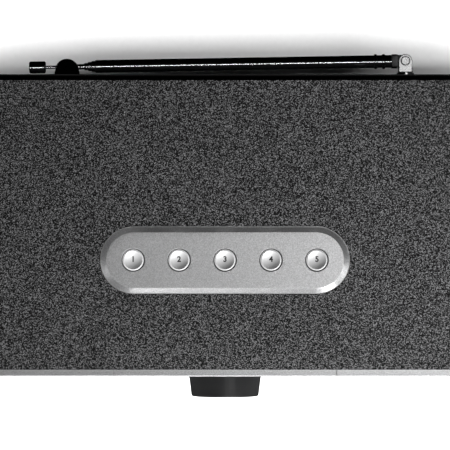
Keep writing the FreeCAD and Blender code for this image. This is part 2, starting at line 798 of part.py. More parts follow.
def lcd_module():
    body = new_body("lcd_module")
    drawn = sketch_on(body, "XZ", BAFFLE_BACK)
    rectangle(drawn, "0", LENS_Z, "lens_width - lens_ledge", "lens_height - slip")
    pad(body, drawn, "lcd_thick")
    glass = sketch_on(body, "XZ", f"{BAFFLE_BACK} - lcd_thick")
    rectangle(glass, "0", LENS_Z, "lens_width - lens_ledge - 2 * lcd_frame", "lens_height - 2 * lcd_frame")
    pocket(body, glass, "lcd_sink")


def front_pcb():
    body = new_body("front_pcb")
    drawn = sketch_on(body, "XZ", f"{BAFFLE_BACK} + pcb")
    rectangle(drawn, "0", MIDDLE, "front_pcb_width", "front_pcb_height")
    for x, y in FRONT_LUGS:
        circle(drawn, x, y, "small_shank + 2 * shank_slip")
    pad(body, drawn, "pcb")


def front_switches():
    body = new_body("front_switches")
    drawn = sketch_on(body, "XZ", BAFFLE_BACK)
    for x, y in KEYS.values():
        rectangle(drawn, x, y, "switch_side", "switch_side")
    pad(body, drawn, "switch_height")
    drill(body, "XZ", KEY_SWITCH_TOP, list(KEYS.values()), "stem + 2 * key_slip", "switch_bore_depth")


def ball_radius(half, rise):
    """The radius of a ball whose cap is half as wide and rises so high, as a formula."""
    return f"((({half}) * ({half}) + {rise} * {rise}) / (2 * {rise}))"


def front_key(name, x, z):
    """A round button turned about Y: a domed cap, a flange that holds it in and a stem into its switch."""
    body = new_body(name, x=x, z=z)
    drawn = sketch_on(body, "YZ")
    cap, flange, stem = "key_across / 2", "(key_across / 2 + key_lip)", "stem / 2"
    front, shoulder = f"{FACE} - key_proud", f"{INNER_FACE} + touch_gap"
    edge = f"{FACE} - key_proud + key_crown"
    behind = f"{shoulder} + key_flange_thick"
    tip = f"{KEY_SWITCH_TOP} + stem_entry"
    corners = [(front, "0"), (tip, "0"), (tip, stem), (behind, stem), (behind, flange), (shoulder, flange),
               (shoulder, cap), (edge, cap)]
    outline(drawn, corners, {7: (ball_radius("key_across / 2", "key_crown"), 1)})
    revolve(body, drawn, "H_Axis")


# ---------------------------------------------------------------- tuning knob and encoder


def tuning_knob():
    body = new_body("tuning_knob", z="knob_z")
    drawn = sketch_on(body, "YZ")
    skirt, crown = f"{FACE} - knob_gap", f"{FACE} - knob_gap - knob_height"
    hub_back = f"{FACE} - knob_gap - knob_hub_back"
    bore_end = f"{FACE} - knob_gap - knob_hub_back - shaft_in_knob"
    web = f"{crown} + knob_wall"
    base, face, bore = "knob_base / 2", "knob_face / 2", "(shaft / 2 + shaft_slip)"
    corners = [(skirt, f"{base} - knob_wall"), (skirt, base), (crown, face), (crown, "0"), (bore_end, "0"),
               (bore_end, bore), (hub_back, bore), (hub_back, "knob_hub / 2"), (web, "knob_hub / 2"),
               (web, f"{face} - knob_wall")]
    outline(drawn, corners)
    revolve(body, drawn, "H_Axis")
    fillet(body, "knob_round", lambda edge: on_plane(edge, "y", crown))
    mark = sketch_on(body, "XZ", crown)
    rectangle(mark, "0", "knob_face / 2 - mark_length", "mark_width", "mark_length")
    pocket(body, mark, "mark_depth")


def encoder():
    """A push encoder: its housing and bushing stay still, the rotor turns and the shaft turns and slides."""
    floor = f"({BAFFLE_BACK} - encoder_floor)"
    roof = f"({floor} - rotor_thick - rotor_room)"
    housing = new_body("encoder_body", z="knob_z")
    drawn = sketch_on(housing, "XZ", BAFFLE_BACK)
    rectangle(drawn, "0", "0", "encoder_side", "encoder_side")
    pad(housing, drawn, "encoder_height")
    neck = sketch_on(housing, "XZ", f"{BAFFLE_BACK} - encoder_height")
    circle(neck, "0", "0", BUSHING)
    pad(housing, neck, "bushing_length")
    cavity = sketch_on(housing, "YZ")
    tip = f"{BAFFLE_BACK} - encoder_height - bushing_length"
    hole = "(shaft / 2 + shaft_slip)"
    outline(cavity, [(floor, "0"), (floor, "rotor_across / 2 + slip"), (roof, "rotor_across / 2 + slip"),
                     (roof, hole), (f"{tip} - 1", hole), (f"{tip} - 1", "0")])
    revolve(housing, cavity, "H_Axis", cut=True)

    rotor = new_body("encoder_rotor", z="knob_z")
    ring = sketch_on(rotor, "XZ", f"{floor} - rotor_play")
    circle(ring, "0", "0", "rotor_across")
    circle(ring, "0", "0", "spindle + 2 * shaft_slip")
    pad(rotor, ring, "rotor_thick")

    shaft = new_body("encoder_shaft", z="knob_z")
    profile = sketch_on(shaft, "YZ")
    foot = f"{floor} - spindle_clear"
    step = f"{roof} - rotor_room"
    end = f"{FACE} - knob_gap - knob_hub_back - shaft_in_knob + shaft_slip"
    outline(profile, [(foot, "0"), (foot, "spindle / 2"), (step, "spindle / 2"), (step, "shaft / 2"),
                      (end, "shaft / 2"), (end, "0")])
    revolve(shaft, profile, "H_Axis")


def encoder_nut():
    body = new_body("encoder_nut", z="knob_z")
    drawn = sketch_on(body, "XZ", f"{FACE} + knob_dish_depth")
    reach = "(nut_flats / sqrt(3))"
    outline(drawn, [(f"{reach} * cos({60 * k})", f"{reach} * sin({60 * k})") for k in range(6)])
    circle(drawn, "0", "0", f"{BUSHING} + 2 * shaft_slip")
    pad(body, drawn, "nut_thick")


# ---------------------------------------------------------------- preset panel on the top


def preset_plate():
    """A dished pill let into the top from inside: sloped rim, flat floor, deep wall and a flange below."""
    body = new_body("preset_plate")
    flange_low = f"{CEILING} - plate_flange_thick"
    outer = sketch_on(body, "XY", TOP)
    pill(outer, "0", "preset_y", "plate_length", "plate_width")
    pad(body, outer, f"{TOP} - {CEILING} + plate_flange_thick", back=True)
    flange = sketch_on(body, "XY", flange_low)
    pill(flange, "0", "preset_y", "plate_length + 2 * plate_flange", "plate_width + 2 * plate_flange")
    pad(body, flange, "plate_flange_thick")
    inside = sketch_on(body, "XY", flange_low)
    pill(inside, "0", "preset_y", "plate_length - 2 * plate_wall", "plate_width - 2 * plate_wall")
    pocket(body, inside, f"{PLATE_UNDER} - {CEILING} + plate_flange_thick", ahead=True)
    mouth, bed = sketch_on(body, "XY", TOP), sketch_on(body, "XY", PLATE_TOP)
    pill(mouth, "0", "preset_y", "plate_length - 2 * plate_edge", "plate_width - 2 * plate_edge")
    inset = "2 * (plate_edge + plate_slope)"
    pill(bed, "0", "preset_y", f"plate_length - {inset}", f"plate_width - {inset}")
    dish = body.newObject("PartDesign::SubtractiveLoft", "Dish")
    dish.Profile = mouth
    dish.Sections = [bed]
    dish.Ruled = True
    check(dish)
    holes = [(x, "preset_y") for x in PRESETS]
    drill(body, "XY", PLATE_TOP, holes, PRESET_HOLE, "plate_floor + 1")
    chamfer(body, "preset_hole_bevel",
            lambda edge: on_plane(edge, "z", PLATE_TOP) and is_round(edge, PRESET_HOLE))
    bosses = sketch_on(body, "XY", PLATE_UNDER)
    for x, y in PRESET_LUGS:
        circle(bosses, x, y, "boss")
    pad(body, bosses, f"{PLATE_UNDER} - {PRESET_PCB_TOP}", back=True)
    pilot, passage = "small_shank + shank_slip", "small_shank + 2 * shank_slip"
    drill(body, "XY", PRESET_PCB_TOP, PRESET_LUGS, pilot, "small_grip - pcb + pilot_room", ahead=True)
    drill(body, "XY", flange_low, PLATE_LUGS, passage, "plate_flange_thick", ahead=True)


def preset_button(number, x):
    """A domed cap inside a fine raised hem, with a flange under the plate and a stem into its switch."""
    body = new_body(f"preset_button_{number}", x=x, y="preset_y", z=PLATE_TOP)
    drawn = sketch_on(body, "XZ")
    cap, flange, stem = "preset_across / 2", "(preset_across / 2 + preset_lip)", "stem / 2"
    shoulder = "-(plate_floor + touch_gap)"
    under = "-(plate_floor + touch_gap + preset_flange_thick)"
    tip = "-(plate_floor + touch_gap + preset_flange_thick + preset_stem_drop + stem_entry)"
    hem, base = f"({cap} - preset_hem)", f"({cap} - 2 * preset_hem)"
    corners = [("0", "preset_rim - preset_hem + preset_crown"), ("0", tip), (stem, tip), (stem, under),
               (flange, under), (flange, shoulder), (cap, shoulder), (cap, "preset_rim"), (hem, "preset_rim"),
               (base, "preset_rim - preset_hem")]
    outline(drawn, corners, {9: (ball_radius(base, "preset_crown"), 1)})
    revolve(body, drawn, "V_Axis")


def preset_pcb():
    body = new_body("preset_pcb")
    drawn = sketch_on(body, "XY", PRESET_PCB_TOP)
    inset = "2 * plate_wall - lug_inset"
    pill(drawn, "0", "preset_y", f"plate_length - {inset}", f"plate_width - {inset}")
    for x, y in PRESET_LUGS:
        circle(drawn, x, y, "small_shank + 2 * shank_slip")
    pad(body, drawn, "pcb", back=True)


def preset_switches():
    body = new_body("preset_switches")
    places = [(x, "preset_y") for x in PRESETS]
    drawn = sketch_on(body, "XY", PRESET_PCB_TOP)
    for x, y in places:
        rectangle(drawn, x, y, "switch_side", "switch_side")
    pad(body, drawn, "switch_height")
    drill(body, "XY", SWITCH_TOP, places, "stem + 2 * key_slip", "switch_bore_depth")


# ---------------------------------------------------------------- speakers


def speaker_lugs():
    reach = "speaker_lug * cos(45)"
    places = []
    for sign in SIDES.values():
        places += cells([f"{sign} * {SPEAKER_X} - {reach}", f"{sign} * {SPEAKER_X} + {reach}"],
                        [f"{MIDDLE} - {reach}", f"{MIDDLE} + {reach}"])
    return places


def speaker(name, sign):
    """One driver behind the baffle: basket, magnet system, cone with its coil former, and its suspension."""
    place = {"x": f"{sign} * {SPEAKER_X}", "y": BAFFLE_BACK, "z": MIDDLE}
    ledge, rim, hole = "surround_thick", "(roll_outer + rim_ledge)", "basket_hole / 2"
    deep, floor, plate = "basket_depth", "basket_floor / 2", "(basket_depth - basket_wall)"

    basket = new_body("speaker_basket_" + name, **place)
    drawn = sketch_on(basket, "YZ")
    outline(drawn, [("0", rim), ("0", "speaker_across / 2"), ("flange_thick", "speaker_across / 2"),
                    ("flange_thick", "roll_outer + basket_wall"), (deep, f"{floor} + basket_wall"),
                    (deep, hole), (plate, hole), (plate, floor), (ledge, "roll_outer"), (ledge, rim)])
    revolve(basket, drawn, "H_Axis")
    gaps = sketch_on(basket, "XZ", "basket_depth * 0.25")
    for start in (0, 90, 180, 270):
        half = "window_arc / 2"
        wide, narrow = "(roll_outer + 2 * basket_wall)", f"({floor} + 3 * basket_wall)"
        spots = [(narrow, f"{start} - {half}"), (wide, f"{start} - {half}"), (wide, f"{start} + {half}"),
                 (narrow, f"{start} + {half}")]
        outline(gaps, [(f"{r} * cos({a})", f"{r} * sin({a})") for r, a in spots],
                {1: (wide, 1), 3: (narrow, -1)})
    pocket(basket, gaps, "basket_depth * 0.6")
    lug = "speaker_lug * cos(45)"
    drill(basket, "XZ", "0", cells([f"-{lug}", lug], [f"-{lug}", lug]), "small_shank + 2 * shank_slip",
          "flange_thick")

    magnet = new_body("speaker_magnet_" + name, **place)
    drawn = sketch_on(magnet, "YZ")
    pole = "(coil / 2 - coil_wall - coil_gap)"
    gap, bore = f"({pole} + gap_width)", f"({pole} + gap_width + magnet_bore)"
    ring, yoke = "(basket_depth + pole_thick)", "(basket_depth + pole_thick + magnet_thick)"
    end, steel, magnet_edge = f"{yoke} + pole_thick", "pole_across / 2", "magnet_across / 2"
    outline(drawn, [(deep, gap), (deep, steel), (ring, steel), (ring, magnet_edge), (yoke, magnet_edge),
                    (yoke, steel), (end, steel), (end, "0"), (deep, "0"), (deep, pole), (yoke, pole),
                    (yoke, bore), (ring, bore), (ring, gap)])
    revolve(magnet, drawn, "H_Axis")

    cone = new_body("speaker_cone_" + name, **place)
    drawn = sketch_on(cone, "YZ")
    throat, former = "(coil / 2 - coil_wall)", "coil / 2"
    tail, hem = "basket_depth + pole_thick", "roll_inner - rim_slip"
    cap_edge = "(coil / 2 + cap_ledge)"
    cap_radius = ball_radius(cap_edge, "cap_rise")
    neck = f"(cone_depth * (roll_inner - {cap_edge}) / (roll_inner - coil / 2))"
    crown = f"({ledge} + {neck} - cap_rise)"
    inside = f"({cap_radius} - cap_thick)"
    inside_edge = f"{crown} + {cap_radius} - sqrt({inside} * {inside} - {throat} * {throat})"
    outline(drawn, [(crown, "0"), (f"{ledge} + {neck}", cap_edge), (ledge, f"{hem} - cone_thick"),
                    (ledge, hem), (f"{ledge} + cone_thick", hem),
                    (f"{ledge} + cone_depth + cone_thick", former), (tail, former), (tail, throat),
                    (inside_edge, throat), (f"{crown} + cap_thick", "0")],
            {0: (cap_radius, -1), 8: (inside, 1)})
    revolve(cone, drawn, "H_Axis")

    soft = new_body("speaker_suspension_" + name, **place)
    drawn = sketch_on(soft, "YZ")
    thin, roll = "surround_thick", "((roll_outer - roll_inner) / 2)"
    outer, inner = f"{rim} - rim_slip", "roll_inner - roll_ledge"
    outline(drawn, [("0", outer), (thin, outer), (thin, f"roll_outer - {thin}"),
                    (thin, f"roll_inner + {thin}"), (thin, inner), ("0", inner), ("0", "roll_inner"),
                    ("0", "roll_outer")],
            {2: (f"{roll} - {thin}", 1), 6: (roll, -1)})
    revolve(soft, drawn, "H_Axis")
    spider = sketch_on(soft, "YZ")
    at = "spider_depth"
    far = f"(roll_outer + ({floor} - roll_outer) * spider_depth / basket_depth - spider_inset)"
    near = "(coil / 2 + shaft_slip)"
    folds = 6
    front = [(f"{at} + {k % 2} * spider_wave", f"{near} + {k} * ({far} - {near}) / {folds}")
             for k in range(folds + 1)]
    outline(spider, front + [(f"{along} + spider_thick", away) for along, away in front[::-1]])
    revolve(soft, spider, "H_Axis")


# ---------------------------------------------------------------- rear cover, bass port and sockets


def rear_cover():
    body = new_body("rear_cover")
    drawn = sketch_on(body, "XZ", REAR)
    rounded(drawn, "0", MIDDLE, "cabinet_width - 2 * rear_inset", "cabinet_height - 2 * rear_inset",
            "(cabinet_corner - rear_inset)")
    pad(body, drawn, "rear_thick")
    fillet(body, "rear_round", lambda edge: on_plane(edge, "y", REAR))
    rib = sketch_on(body, "XZ", BACK)
    for inset in ("2 * slip", "2 * (slip + rib_thick)"):
        rectangle(rib, "0", MIDDLE, f"{ROOM_WIDTH} - {inset}", f"{ROOM_HEIGHT} - {inset}")
    pad(body, rib, "rib_height")
    field = sketch_on(body, "XZ", REAR)
    rounded(field, "socket_field_x", JACK_Z, "socket_field_width", "socket_field_height", "3")
    pocket(body, field, "socket_field_depth", ahead=True)
    through = "rear_thick + rib_height"
    sockets = [(x, JACK_Z) for x in ("dc_x", "aux_x", "phones_x")]
    holes = [([("port_x", "port_z")], "port_bore + 2 * port_wall + 2 * slip"),
             (sockets, "jack_nose + 2 * slip"), ([("aerial_x", AERIAL_Z)], "bush_across + 2 * shaft_slip"),
             (REAR_SCREWS, "case_shank + 2 * shank_slip")]
    for places, across in holes:
        drill(body, "XZ", REAR, places, across, through, ahead=True)
    chamfer(body, "(case_head - case_shank) / 2",
            lambda edge: on_plane(edge, "y", REAR) and is_round(edge, "case_shank + 2 * shank_slip"))
    peg = sketch_on(body, "XZ", REAR)
    rectangle(peg, "clip_x", AERIAL_Z, "2 * clip_peg + 2 * slip", "clip_peg + 2 * slip")
    pocket(body, peg, through, ahead=True)


def bass_port():
    body = new_body("bass_port", x="port_x", y=REAR, z="port_z")
    drawn = sketch_on(body, "YZ")
    bore, outer = "port_bore / 2", "(port_bore / 2 + port_wall)"
    inner_end = "-port_length"
    outline(drawn, [(inner_end, bore), ("port_flange_thick - port_flare", bore),
                    ("port_flange_thick", f"{bore} + port_flare"),
                    ("port_flange_thick", "port_flange / 2 - 1"),
                    ("port_flange_thick - 1", "port_flange / 2"), ("0", "port_flange / 2"), ("0", outer),
                    (inner_end, outer)], {1: ("port_flare", -1), 3: ("1", 1)})
    revolve(body, drawn, "H_Axis")


def jack(body, x, nose_y):
    """A moulded block on the main board with a round nose through the rear cover."""
    block = sketch_on(body, "XZ", f"{MAIN_PCB_BACK} + 1")
    tall = "(jack_rise + jack_nose / 2)"
    rectangle(block, x, f"{MAIN_PCB_Z} + pcb + {tall} / 2", "jack_side", tall)
    pad(body, block, "jack_body")
    nose = sketch_on(body, "XZ", f"{MAIN_PCB_BACK} + 1")
    circle(nose, x, JACK_Z, "jack_nose")
    pad(body, nose, f"{nose_y} - {MAIN_PCB_BACK} - 1", back=True)


def dc_jack():
    body = new_body("dc_jack")
    nose = f"{REAR} - socket_field_depth"
    jack(body, "dc_x", nose)
    drill(body, "XZ", nose, [("dc_x", JACK_Z)], "dc_bore", "dc_depth", ahead=True)
    pin = sketch_on(body, "XZ", f"{nose} - dc_depth")
    circle(pin, "dc_x", JACK_Z, "dc_pin")
    pad(body, pin, "dc_pin_length", back=True)


def audio_jacks():
    body = new_body("audio_jacks")
    nose = f"{REAR} - socket_field_depth"
    for x in ("aux_x", "phones_x"):
        jack(body, x, nose)
    sockets = [("aux_x", JACK_Z), ("phones_x", JACK_Z)]
    drill(body, "XZ", nose, sockets, "audio_bore", "audio_depth", ahead=True)


def main_pcb():
    body = new_body("main_pcb")
    drawn = sketch_on(body, "XY", MAIN_PCB_Z)
    rectangle(drawn, "0", f"{MAIN_PCB_BACK} - main_pcb_depth / 2", "main_pcb_width", "main_pcb_depth")
    for x, y in MAIN_LUGS:
        circle(drawn, x, y, "small_shank + 2 * shank_slip")
    pad(body, drawn, "pcb")


def pcb_spacers():
    body = new_body("pcb_spacers")
    drawn = sketch_on(body, "XY", INNER_FLOOR)
    for x, y in MAIN_LUGS:
        circle(drawn, x, y, "spacer_across")
        circle(drawn, x, y, "small_shank + 2 * shank_slip")
    pad(body, drawn, "spacer")


# ---------------------------------------------------------------- cables inside


def shape_node(label, shape):
    feature = doc.addObject("Part::Feature", label)
    feature.Label = label
    feature.Shape = shape
    made.append(feature)


def ribbon(points):
    """A flat cable in the plane of Y and Z, bent through these points."""
    path = Part.makePolygon([FreeCAD.Vector(size(y), size(z), 0) for y, z in points])
    strip = path.makeOffset2D(size("ribbon_thick"), 0, True, True)
    cable = strip.extrude(FreeCAD.Vector(0, 0, size("ribbon_width")))
    turned = FreeCAD.Rotation(FreeCAD.Vector(0, 1, 0), FreeCAD.Vector(0, 0, 1), FreeCAD.Vector(1, 0, 0))
    cable.Placement = FreeCAD.Placement(FreeCAD.Vector(-size("ribbon_width") / 2, 0, 0), turned)
    return cable


def ribbon_cables():
    drop = f"{PRESET_PCB_TOP} - pcb - small_head"
    board, edge = f"{BAFFLE_BACK} + pcb + ribbon_thick", f"{MAIN_PCB_BACK} - main_pcb_depth"
    landing = f"{MAIN_PCB_Z} + pcb + ribbon_thick"
    top = ribbon([("preset_y + 4", f"{PRESET_PCB_TOP} - pcb - ribbon_thick"), ("preset_y + 4", drop),
                  ("preset_y + 30", f"{MIDDLE} + 10"), ("preset_y + 46", f"{MIDDLE} - 18"),
                  ("preset_y + 46", landing)])
    front = ribbon([(board, f"{MIDDLE} - 14"), (f"{board} + 8", f"{MIDDLE} - 14"),
                    (f"{board} + 40", f"{MIDDLE} - 24"), (f"{edge} + 8", f"{MIDDLE} - 24"),
                    (f"{edge} + 8", landing)])
    shape_node("ribbon_cables", Part.makeCompound([top, front]))


def wire_path(points):
    """Straight runs joined by tangent arcs, each as large as its two runs allow."""
    steps, start = [], points[0]
    for before, corner, after in zip(points, points[1:], points[2:]):
        into, out = (corner - before), (after - corner)
        turn = into.getAngle(out)
        reach = 0.45 * min(into.Length, out.Length)
        first, last = corner - into.normalize() * reach, corner + out.normalize() * reach
        inward = (first + last) * 0.5 - corner
        radius = reach / math.tan(turn / 2)
        middle = corner + inward.normalize() * (math.hypot(reach, radius) - radius)
        steps += [Part.LineSegment(start, first).toShape(), Part.Arc(first, middle, last).toShape()]
        start = last
    steps.append(Part.LineSegment(start, points[-1]).toShape())
    return Part.Wire(steps)


def speaker_wires():
    """A twin lead from each driver's terminal to the main board, made as two tubes side by side."""
    leads = []
    for sign in SIDES.values():
        for shift in (0, 1):
            side = size("wire") * shift
            low = size(MAIN_PCB_Z) + size("pcb") + size("wire")
            x = sign * size("main_pcb_width / 2 - 16")
            places = [(sign * size(SPEAKER_X) - sign * 20, size(BAFFLE_BACK) + 26, size(MIDDLE) - 22 + side),
                      (sign * size(SPEAKER_X) - sign * 34, size(BAFFLE_BACK) + 34, size(MIDDLE) - 24 + side),
                      (x + sign * 8, size(BAFFLE_BACK) + 50, size(MIDDLE) - 26 + side),
                      (x, size(MAIN_PCB_BACK) - size("main_pcb_depth") + 4, low + side),
                      (x - sign * 6, size(MAIN_PCB_BACK) - size("main_pcb_depth") + 14, low + side)]
            path = wire_path([FreeCAD.Vector(*p) for p in places])
            begin, radius = path.Edges[0], size("wire / 2 - wire_slip")
            at = begin.FirstParameter
            ring = Part.Circle(begin.valueAt(at), begin.tangentAt(at), radius)
            tube = path.makePipeShell([Part.Wire(ring.toShape())], True, False)
            expected = path.Length * math.pi * radius**2
            if abs(tube.Volume / expected - 1) > 0.02:
                raise RuntimeError("a speaker wire's volume isn't its section times its length")
            leads.append(tube)
    shape_node("speaker_wires", Part.makeCompound(leads))


# ---------------------------------------------------------------- aerial

ALONG = {"x": "aerial_x", "y": HINGE_Y, "z": AERIAL_Z, "turn": "180 + aerial_tilt"}


def tube_size(number):
    """Outer diameter of one aerial section, as a formula."""
    return f"(tube_across - {number - 1} * tube_step)"


def tube_reach(number):
    """How far from the hinge a section ends when the aerial is pushed together."""
    if number == 5:
        return "(tube_end + 3 * tube_show + last_show)"
    return f"(tube_end + {number - 1} * tube_show)"


def aerial_bush():
    body = new_body("aerial_bush", x="aerial_x", y=REAR, z=AERIAL_Z)
    drawn = sketch_on(body, "YZ")
    bore, across, flange = "(swivel_shaft / 2 + shaft_slip)", "bush_across / 2", "bush_flange / 2"
    tail = "-(rear_thick + bush_tail)"
    outline(drawn, [(tail, bore), ("bush_flange_thick", bore), ("bush_flange_thick", flange), ("0", flange),
                    ("0", across), (tail, across)])
    revolve(body, drawn, "H_Axis")


def aerial_swivel():
    """A shaft that turns in the bush, with a forked head that holds the aerial's tongue."""
    body = new_body("aerial_swivel", x="aerial_x", y=REAR, z=AERIAL_Z)
    start = "(bush_flange_thick + swivel_gap)"
    shaft = sketch_on(body, "XZ", start)
    circle(shaft, "0", "0", "swivel_shaft")
    pad(body, shaft, f"{start} + rear_thick + bush_tail + swivel_tail")
    head = sketch_on(body, "XY", "-swivel_height / 2")
    half = "swivel_width / 2"
    outline(head, [(f"-{half}", start), (half, start), (half, "aerial_back"), (f"-{half}", "aerial_back")],
            {2: (half, 1)})
    pad(body, head, "swivel_height")
    for level in ("swivel_height / 2", "-swivel_height / 2"):
        fillet(body, "swivel_bevel", lambda edge: on_plane(edge, "z", level))
    slot = sketch_on(body, "YZ", "-swivel_width")
    root, far = "(aerial_back - tongue_round - 2 * tongue_slip)", "(aerial_back + swivel_width)"
    rectangle(slot, f"({root} + {far}) / 2", "0", f"{far} - {root}", "tongue + 2 * tongue_slip")
    pocket(body, slot, "2 * swivel_width", ahead=True)
    drill(body, "XY", "swivel_height", [("0", "aerial_back")], "pin + 2 * shaft_slip", "2 * swivel_height")
    keeper = sketch_on(body, "XZ", "-(rear_thick + bush_tail + swivel_gap)")
    circle(keeper, "0", "0", "bush_across")
    pad(body, keeper, "swivel_tail / 2")


def aerial_pin():
    body = new_body("aerial_pin", x="aerial_x", y=HINGE_Y, z=AERIAL_Z)
    rivet = sketch_on(body, "XZ")
    top, low = "swivel_height / 2", "-swivel_height / 2"
    crown, foot, half_thick = f"{top} + pin_head_thick", f"{low} - pin_foot_thick", "pin_head_thick / 2"
    outline(rivet, [("0", foot), ("pin_foot / 2", foot), ("pin_foot / 2", low), ("pin / 2", low),
                    ("pin / 2", top), ("pin_head / 2", top), ("pin_head / 2", f"{top} + {half_thick}"),
                    (f"pin_head / 2 - {half_thick}", crown), ("0", crown)])
    revolve(body, rivet, "V_Axis")
    for wide, tall in (("pin_recess", "pin_recess_width"), ("pin_recess_width", "pin_recess")):
        bar = sketch_on(body, "XY", crown)
        rectangle(bar, "0", "0", wide, tall)
        pocket(body, bar, "pin_recess_depth")


def is_collar_corner(edge):
    middle = edge.BoundBox.Center
    return min(abs(middle.y), abs(middle.z)) > size("collar_side / 2") - 1e-3


def aerial_tube_1():
    """The outer section: hinge tongue, square collar, two beads and the largest tube."""
    body = new_body("aerial_tube_1", **ALONG)
    tongue = sketch_on(body, "XY", "-tongue / 2")
    outline(tongue, [("0", "-tongue_round"), ("collar_start", "-tongue_round"),
                     ("collar_start", "tongue_round"), ("0", "tongue_round")], {3: ("tongue_round", 1)})
    circle(tongue, "0", "0", "pin + 2 * shaft_slip")
    pad(body, tongue, "tongue")
    collar = sketch_on(body, "YZ", "collar_start")
    rectangle(collar, "0", "0", "collar_side", "collar_side")
    pad(body, collar, "collar_length")
    chamfer(body, "collar_bevel", is_collar_corner)
    shell = sketch_on(body, "XY")
    outer, inner = "tube_across / 2", "(tube_across / 2 - tube_wall)"
    start = "(collar_start + collar_length)"
    corners = [(start, "0"), (start, outer)]
    for k in (0, 1):
        centre = f"(bead_first + {k} * bead_pitch)"
        corners += [(f"{centre} - bead_width / 2", outer), (f"{centre} - bead_width / 4", f"{outer} + bead"),
                    (f"{centre} + bead_width / 4", f"{outer} + bead"), (f"{centre} + bead_width / 2", outer)]
    lip, throat = f"{tube_size(2)} / 2 + mouth_slip", "tube_end - mouth"
    corners += [("tube_end - tube_bevel", outer), ("tube_end", f"{outer} - tube_bevel"), ("tube_end", lip),
                (throat, lip), (throat, inner), ("plug_end", inner), ("plug_end", "0")]
    outline(shell, corners)
    revolve(body, shell, "H_Axis")


def aerial_tube(number):
    """An inner section: a base ring guides it in the larger tube, and its mouth guides the next one."""
    body = new_body(f"aerial_tube_{number}", **ALONG)
    drawn = sketch_on(body, "XY")
    outer = f"{tube_size(number)} / 2"
    inner = f"({outer} - tube_wall)"
    guide = f"({tube_size(number - 1)} / 2 - tube_wall - mouth_slip)"
    lip = f"({tube_size(number + 1)} / 2 + mouth_slip)" if number < 5 else "(rod / 2 + mouth_slip)"
    end = tube_reach(number)
    ring = "(base_start + base_ring)"
    outline(drawn, [("base_start", inner), ("base_start", guide), (ring, guide), (ring, outer),
                    (f"{end} - tube_bevel", outer), (end, f"{outer} - tube_bevel"), (end, lip),
                    (f"{end} - mouth", lip), (f"{end} - mouth", inner)])
    revolve(body, drawn, "H_Axis")


def aerial_tip():
    """The innermost rod with its guide ring and the cap swaged on its end."""
    body = new_body("aerial_tip", **ALONG)
    drawn = sketch_on(body, "XY")
    guide = f"({tube_size(5)} / 2 - tube_wall - mouth_slip)"
    across, end = "cap_across / 2", "(cap_start + cap_length)"
    outline(drawn, [("base_start", "0"), ("base_start", guide), ("base_start + base_ring", guide),
                    ("base_start + base_ring", "rod / 2"), ("cap_start", "rod / 2"),
                    ("cap_start", f"{across} - cap_bevel"), ("cap_start + cap_bevel", across),
                    (f"{end} - cap_bevel", across), (end, f"{across} - cap_bevel"), (end, "0")])
    revolve(body, drawn, "H_Axis")


def aerial_clip():
    """A springy plastic clip: two bell-shaped prongs over and under the aerial, open to the back."""
    body = new_body("aerial_clip", x="clip_x", y=REAR, z=AERIAL_Z)
    foot = sketch_on(body, "XY", "-clip_height / 2")
    shoulder, reach = "clip_shoulder / 2", "clip_shoulder_reach"
    outline(foot, [("-clip_foot / 2", "0"), ("clip_foot / 2", "0"), ("clip_foot / 2", "clip_foot_thick"),
                   (shoulder, reach), (f"-{shoulder}", reach), ("-clip_foot / 2", "clip_foot_thick")],
            {3: (ball_radius(shoulder, "(clip_reach - clip_shoulder_reach)"), 1)})
    pad(body, foot, "clip_height")
    axis_y = "(aerial_back - (aerial_x - clip_x) * tan(aerial_tilt))"
    channel = sketch_on(body, "YZ", "-clip_foot")
    bore = f"({tube_size(5)} / 2 + clip_slip)"
    rise = f"({bore} - clip_grip)"
    mouth_y = f"({axis_y} + sqrt({bore} * {bore} - {rise} * {rise}))"
    far = "(clip_reach + 1)"
    flare = f"({rise} + ({far} - {mouth_y}) * clip_flare)"
    outline(channel, [(mouth_y, rise), (axis_y, bore), (axis_y, f"-{bore}"), (mouth_y, f"-{rise}"),
                      (far, f"-{flare}"), (far, flare)], {0: (bore, 1), 1: (bore, 1), 2: (bore, 1)})
    pocket(body, channel, "2 * clip_foot", ahead=True)
    peg = sketch_on(body, "XZ", "0")
    rectangle(peg, "0", "0", "2 * clip_peg", "clip_peg")
    pad(body, peg, "rear_thick")


# ---------------------------------------------------------------- building and writing


def build():
    fill_sheet()
    cabinet_box()
    vinyl_wrap()
    rubber_feet()
    front_baffle()
    centre_panel()
    for name, sign in SIDES.items():
        grille_frame(name, sign)
        grille_mesh(name, sign)
        speaker(name, sign)
    display_lens()
    lcd_module()
    front_pcb()
    front_switches()
    for name, (x, z) in KEYS.items():
        front_key(name, x, z)
    tuning_knob()
    encoder()
    encoder_nut()
    preset_plate()
    for number, x in enumerate(PRESETS, 1):
        preset_button(number, x)
    preset_pcb()
    preset_switches()
    rear_cover()
    bass_port()
    dc_jack()
    audio_jacks()
    main_pcb()
    pcb_spacers()
    all_screws()
    ribbon_cables()
    speaker_wires()
    aerial_bush()
    aerial_swivel()
    aerial_pin()
    aerial_tube_1()
    for number in (2, 3, 4, 5):
        aerial_tube(number)
    aerial_tip()
    aerial_clip()
    doc.recompute()


def write():
    for item in doc.Objects:
        if "Invalid" in item.State or "Error" in item.State:
            raise RuntimeError(f"{item.Label} failed: {item.State}")
    for item in made:
        if item.Shape.isNull() or not item.Shape.isValid() or not item.Shape.Solids:
            raise RuntimeError(f"{item.Label} has no valid solid")
    os.makedirs("parts", exist_ok=True)
    for item in made:
        item.Shape.exportStep(os.path.join("parts", item.Label + ".step"))
    print(f"{len(made)} nodes written")


build()
write()
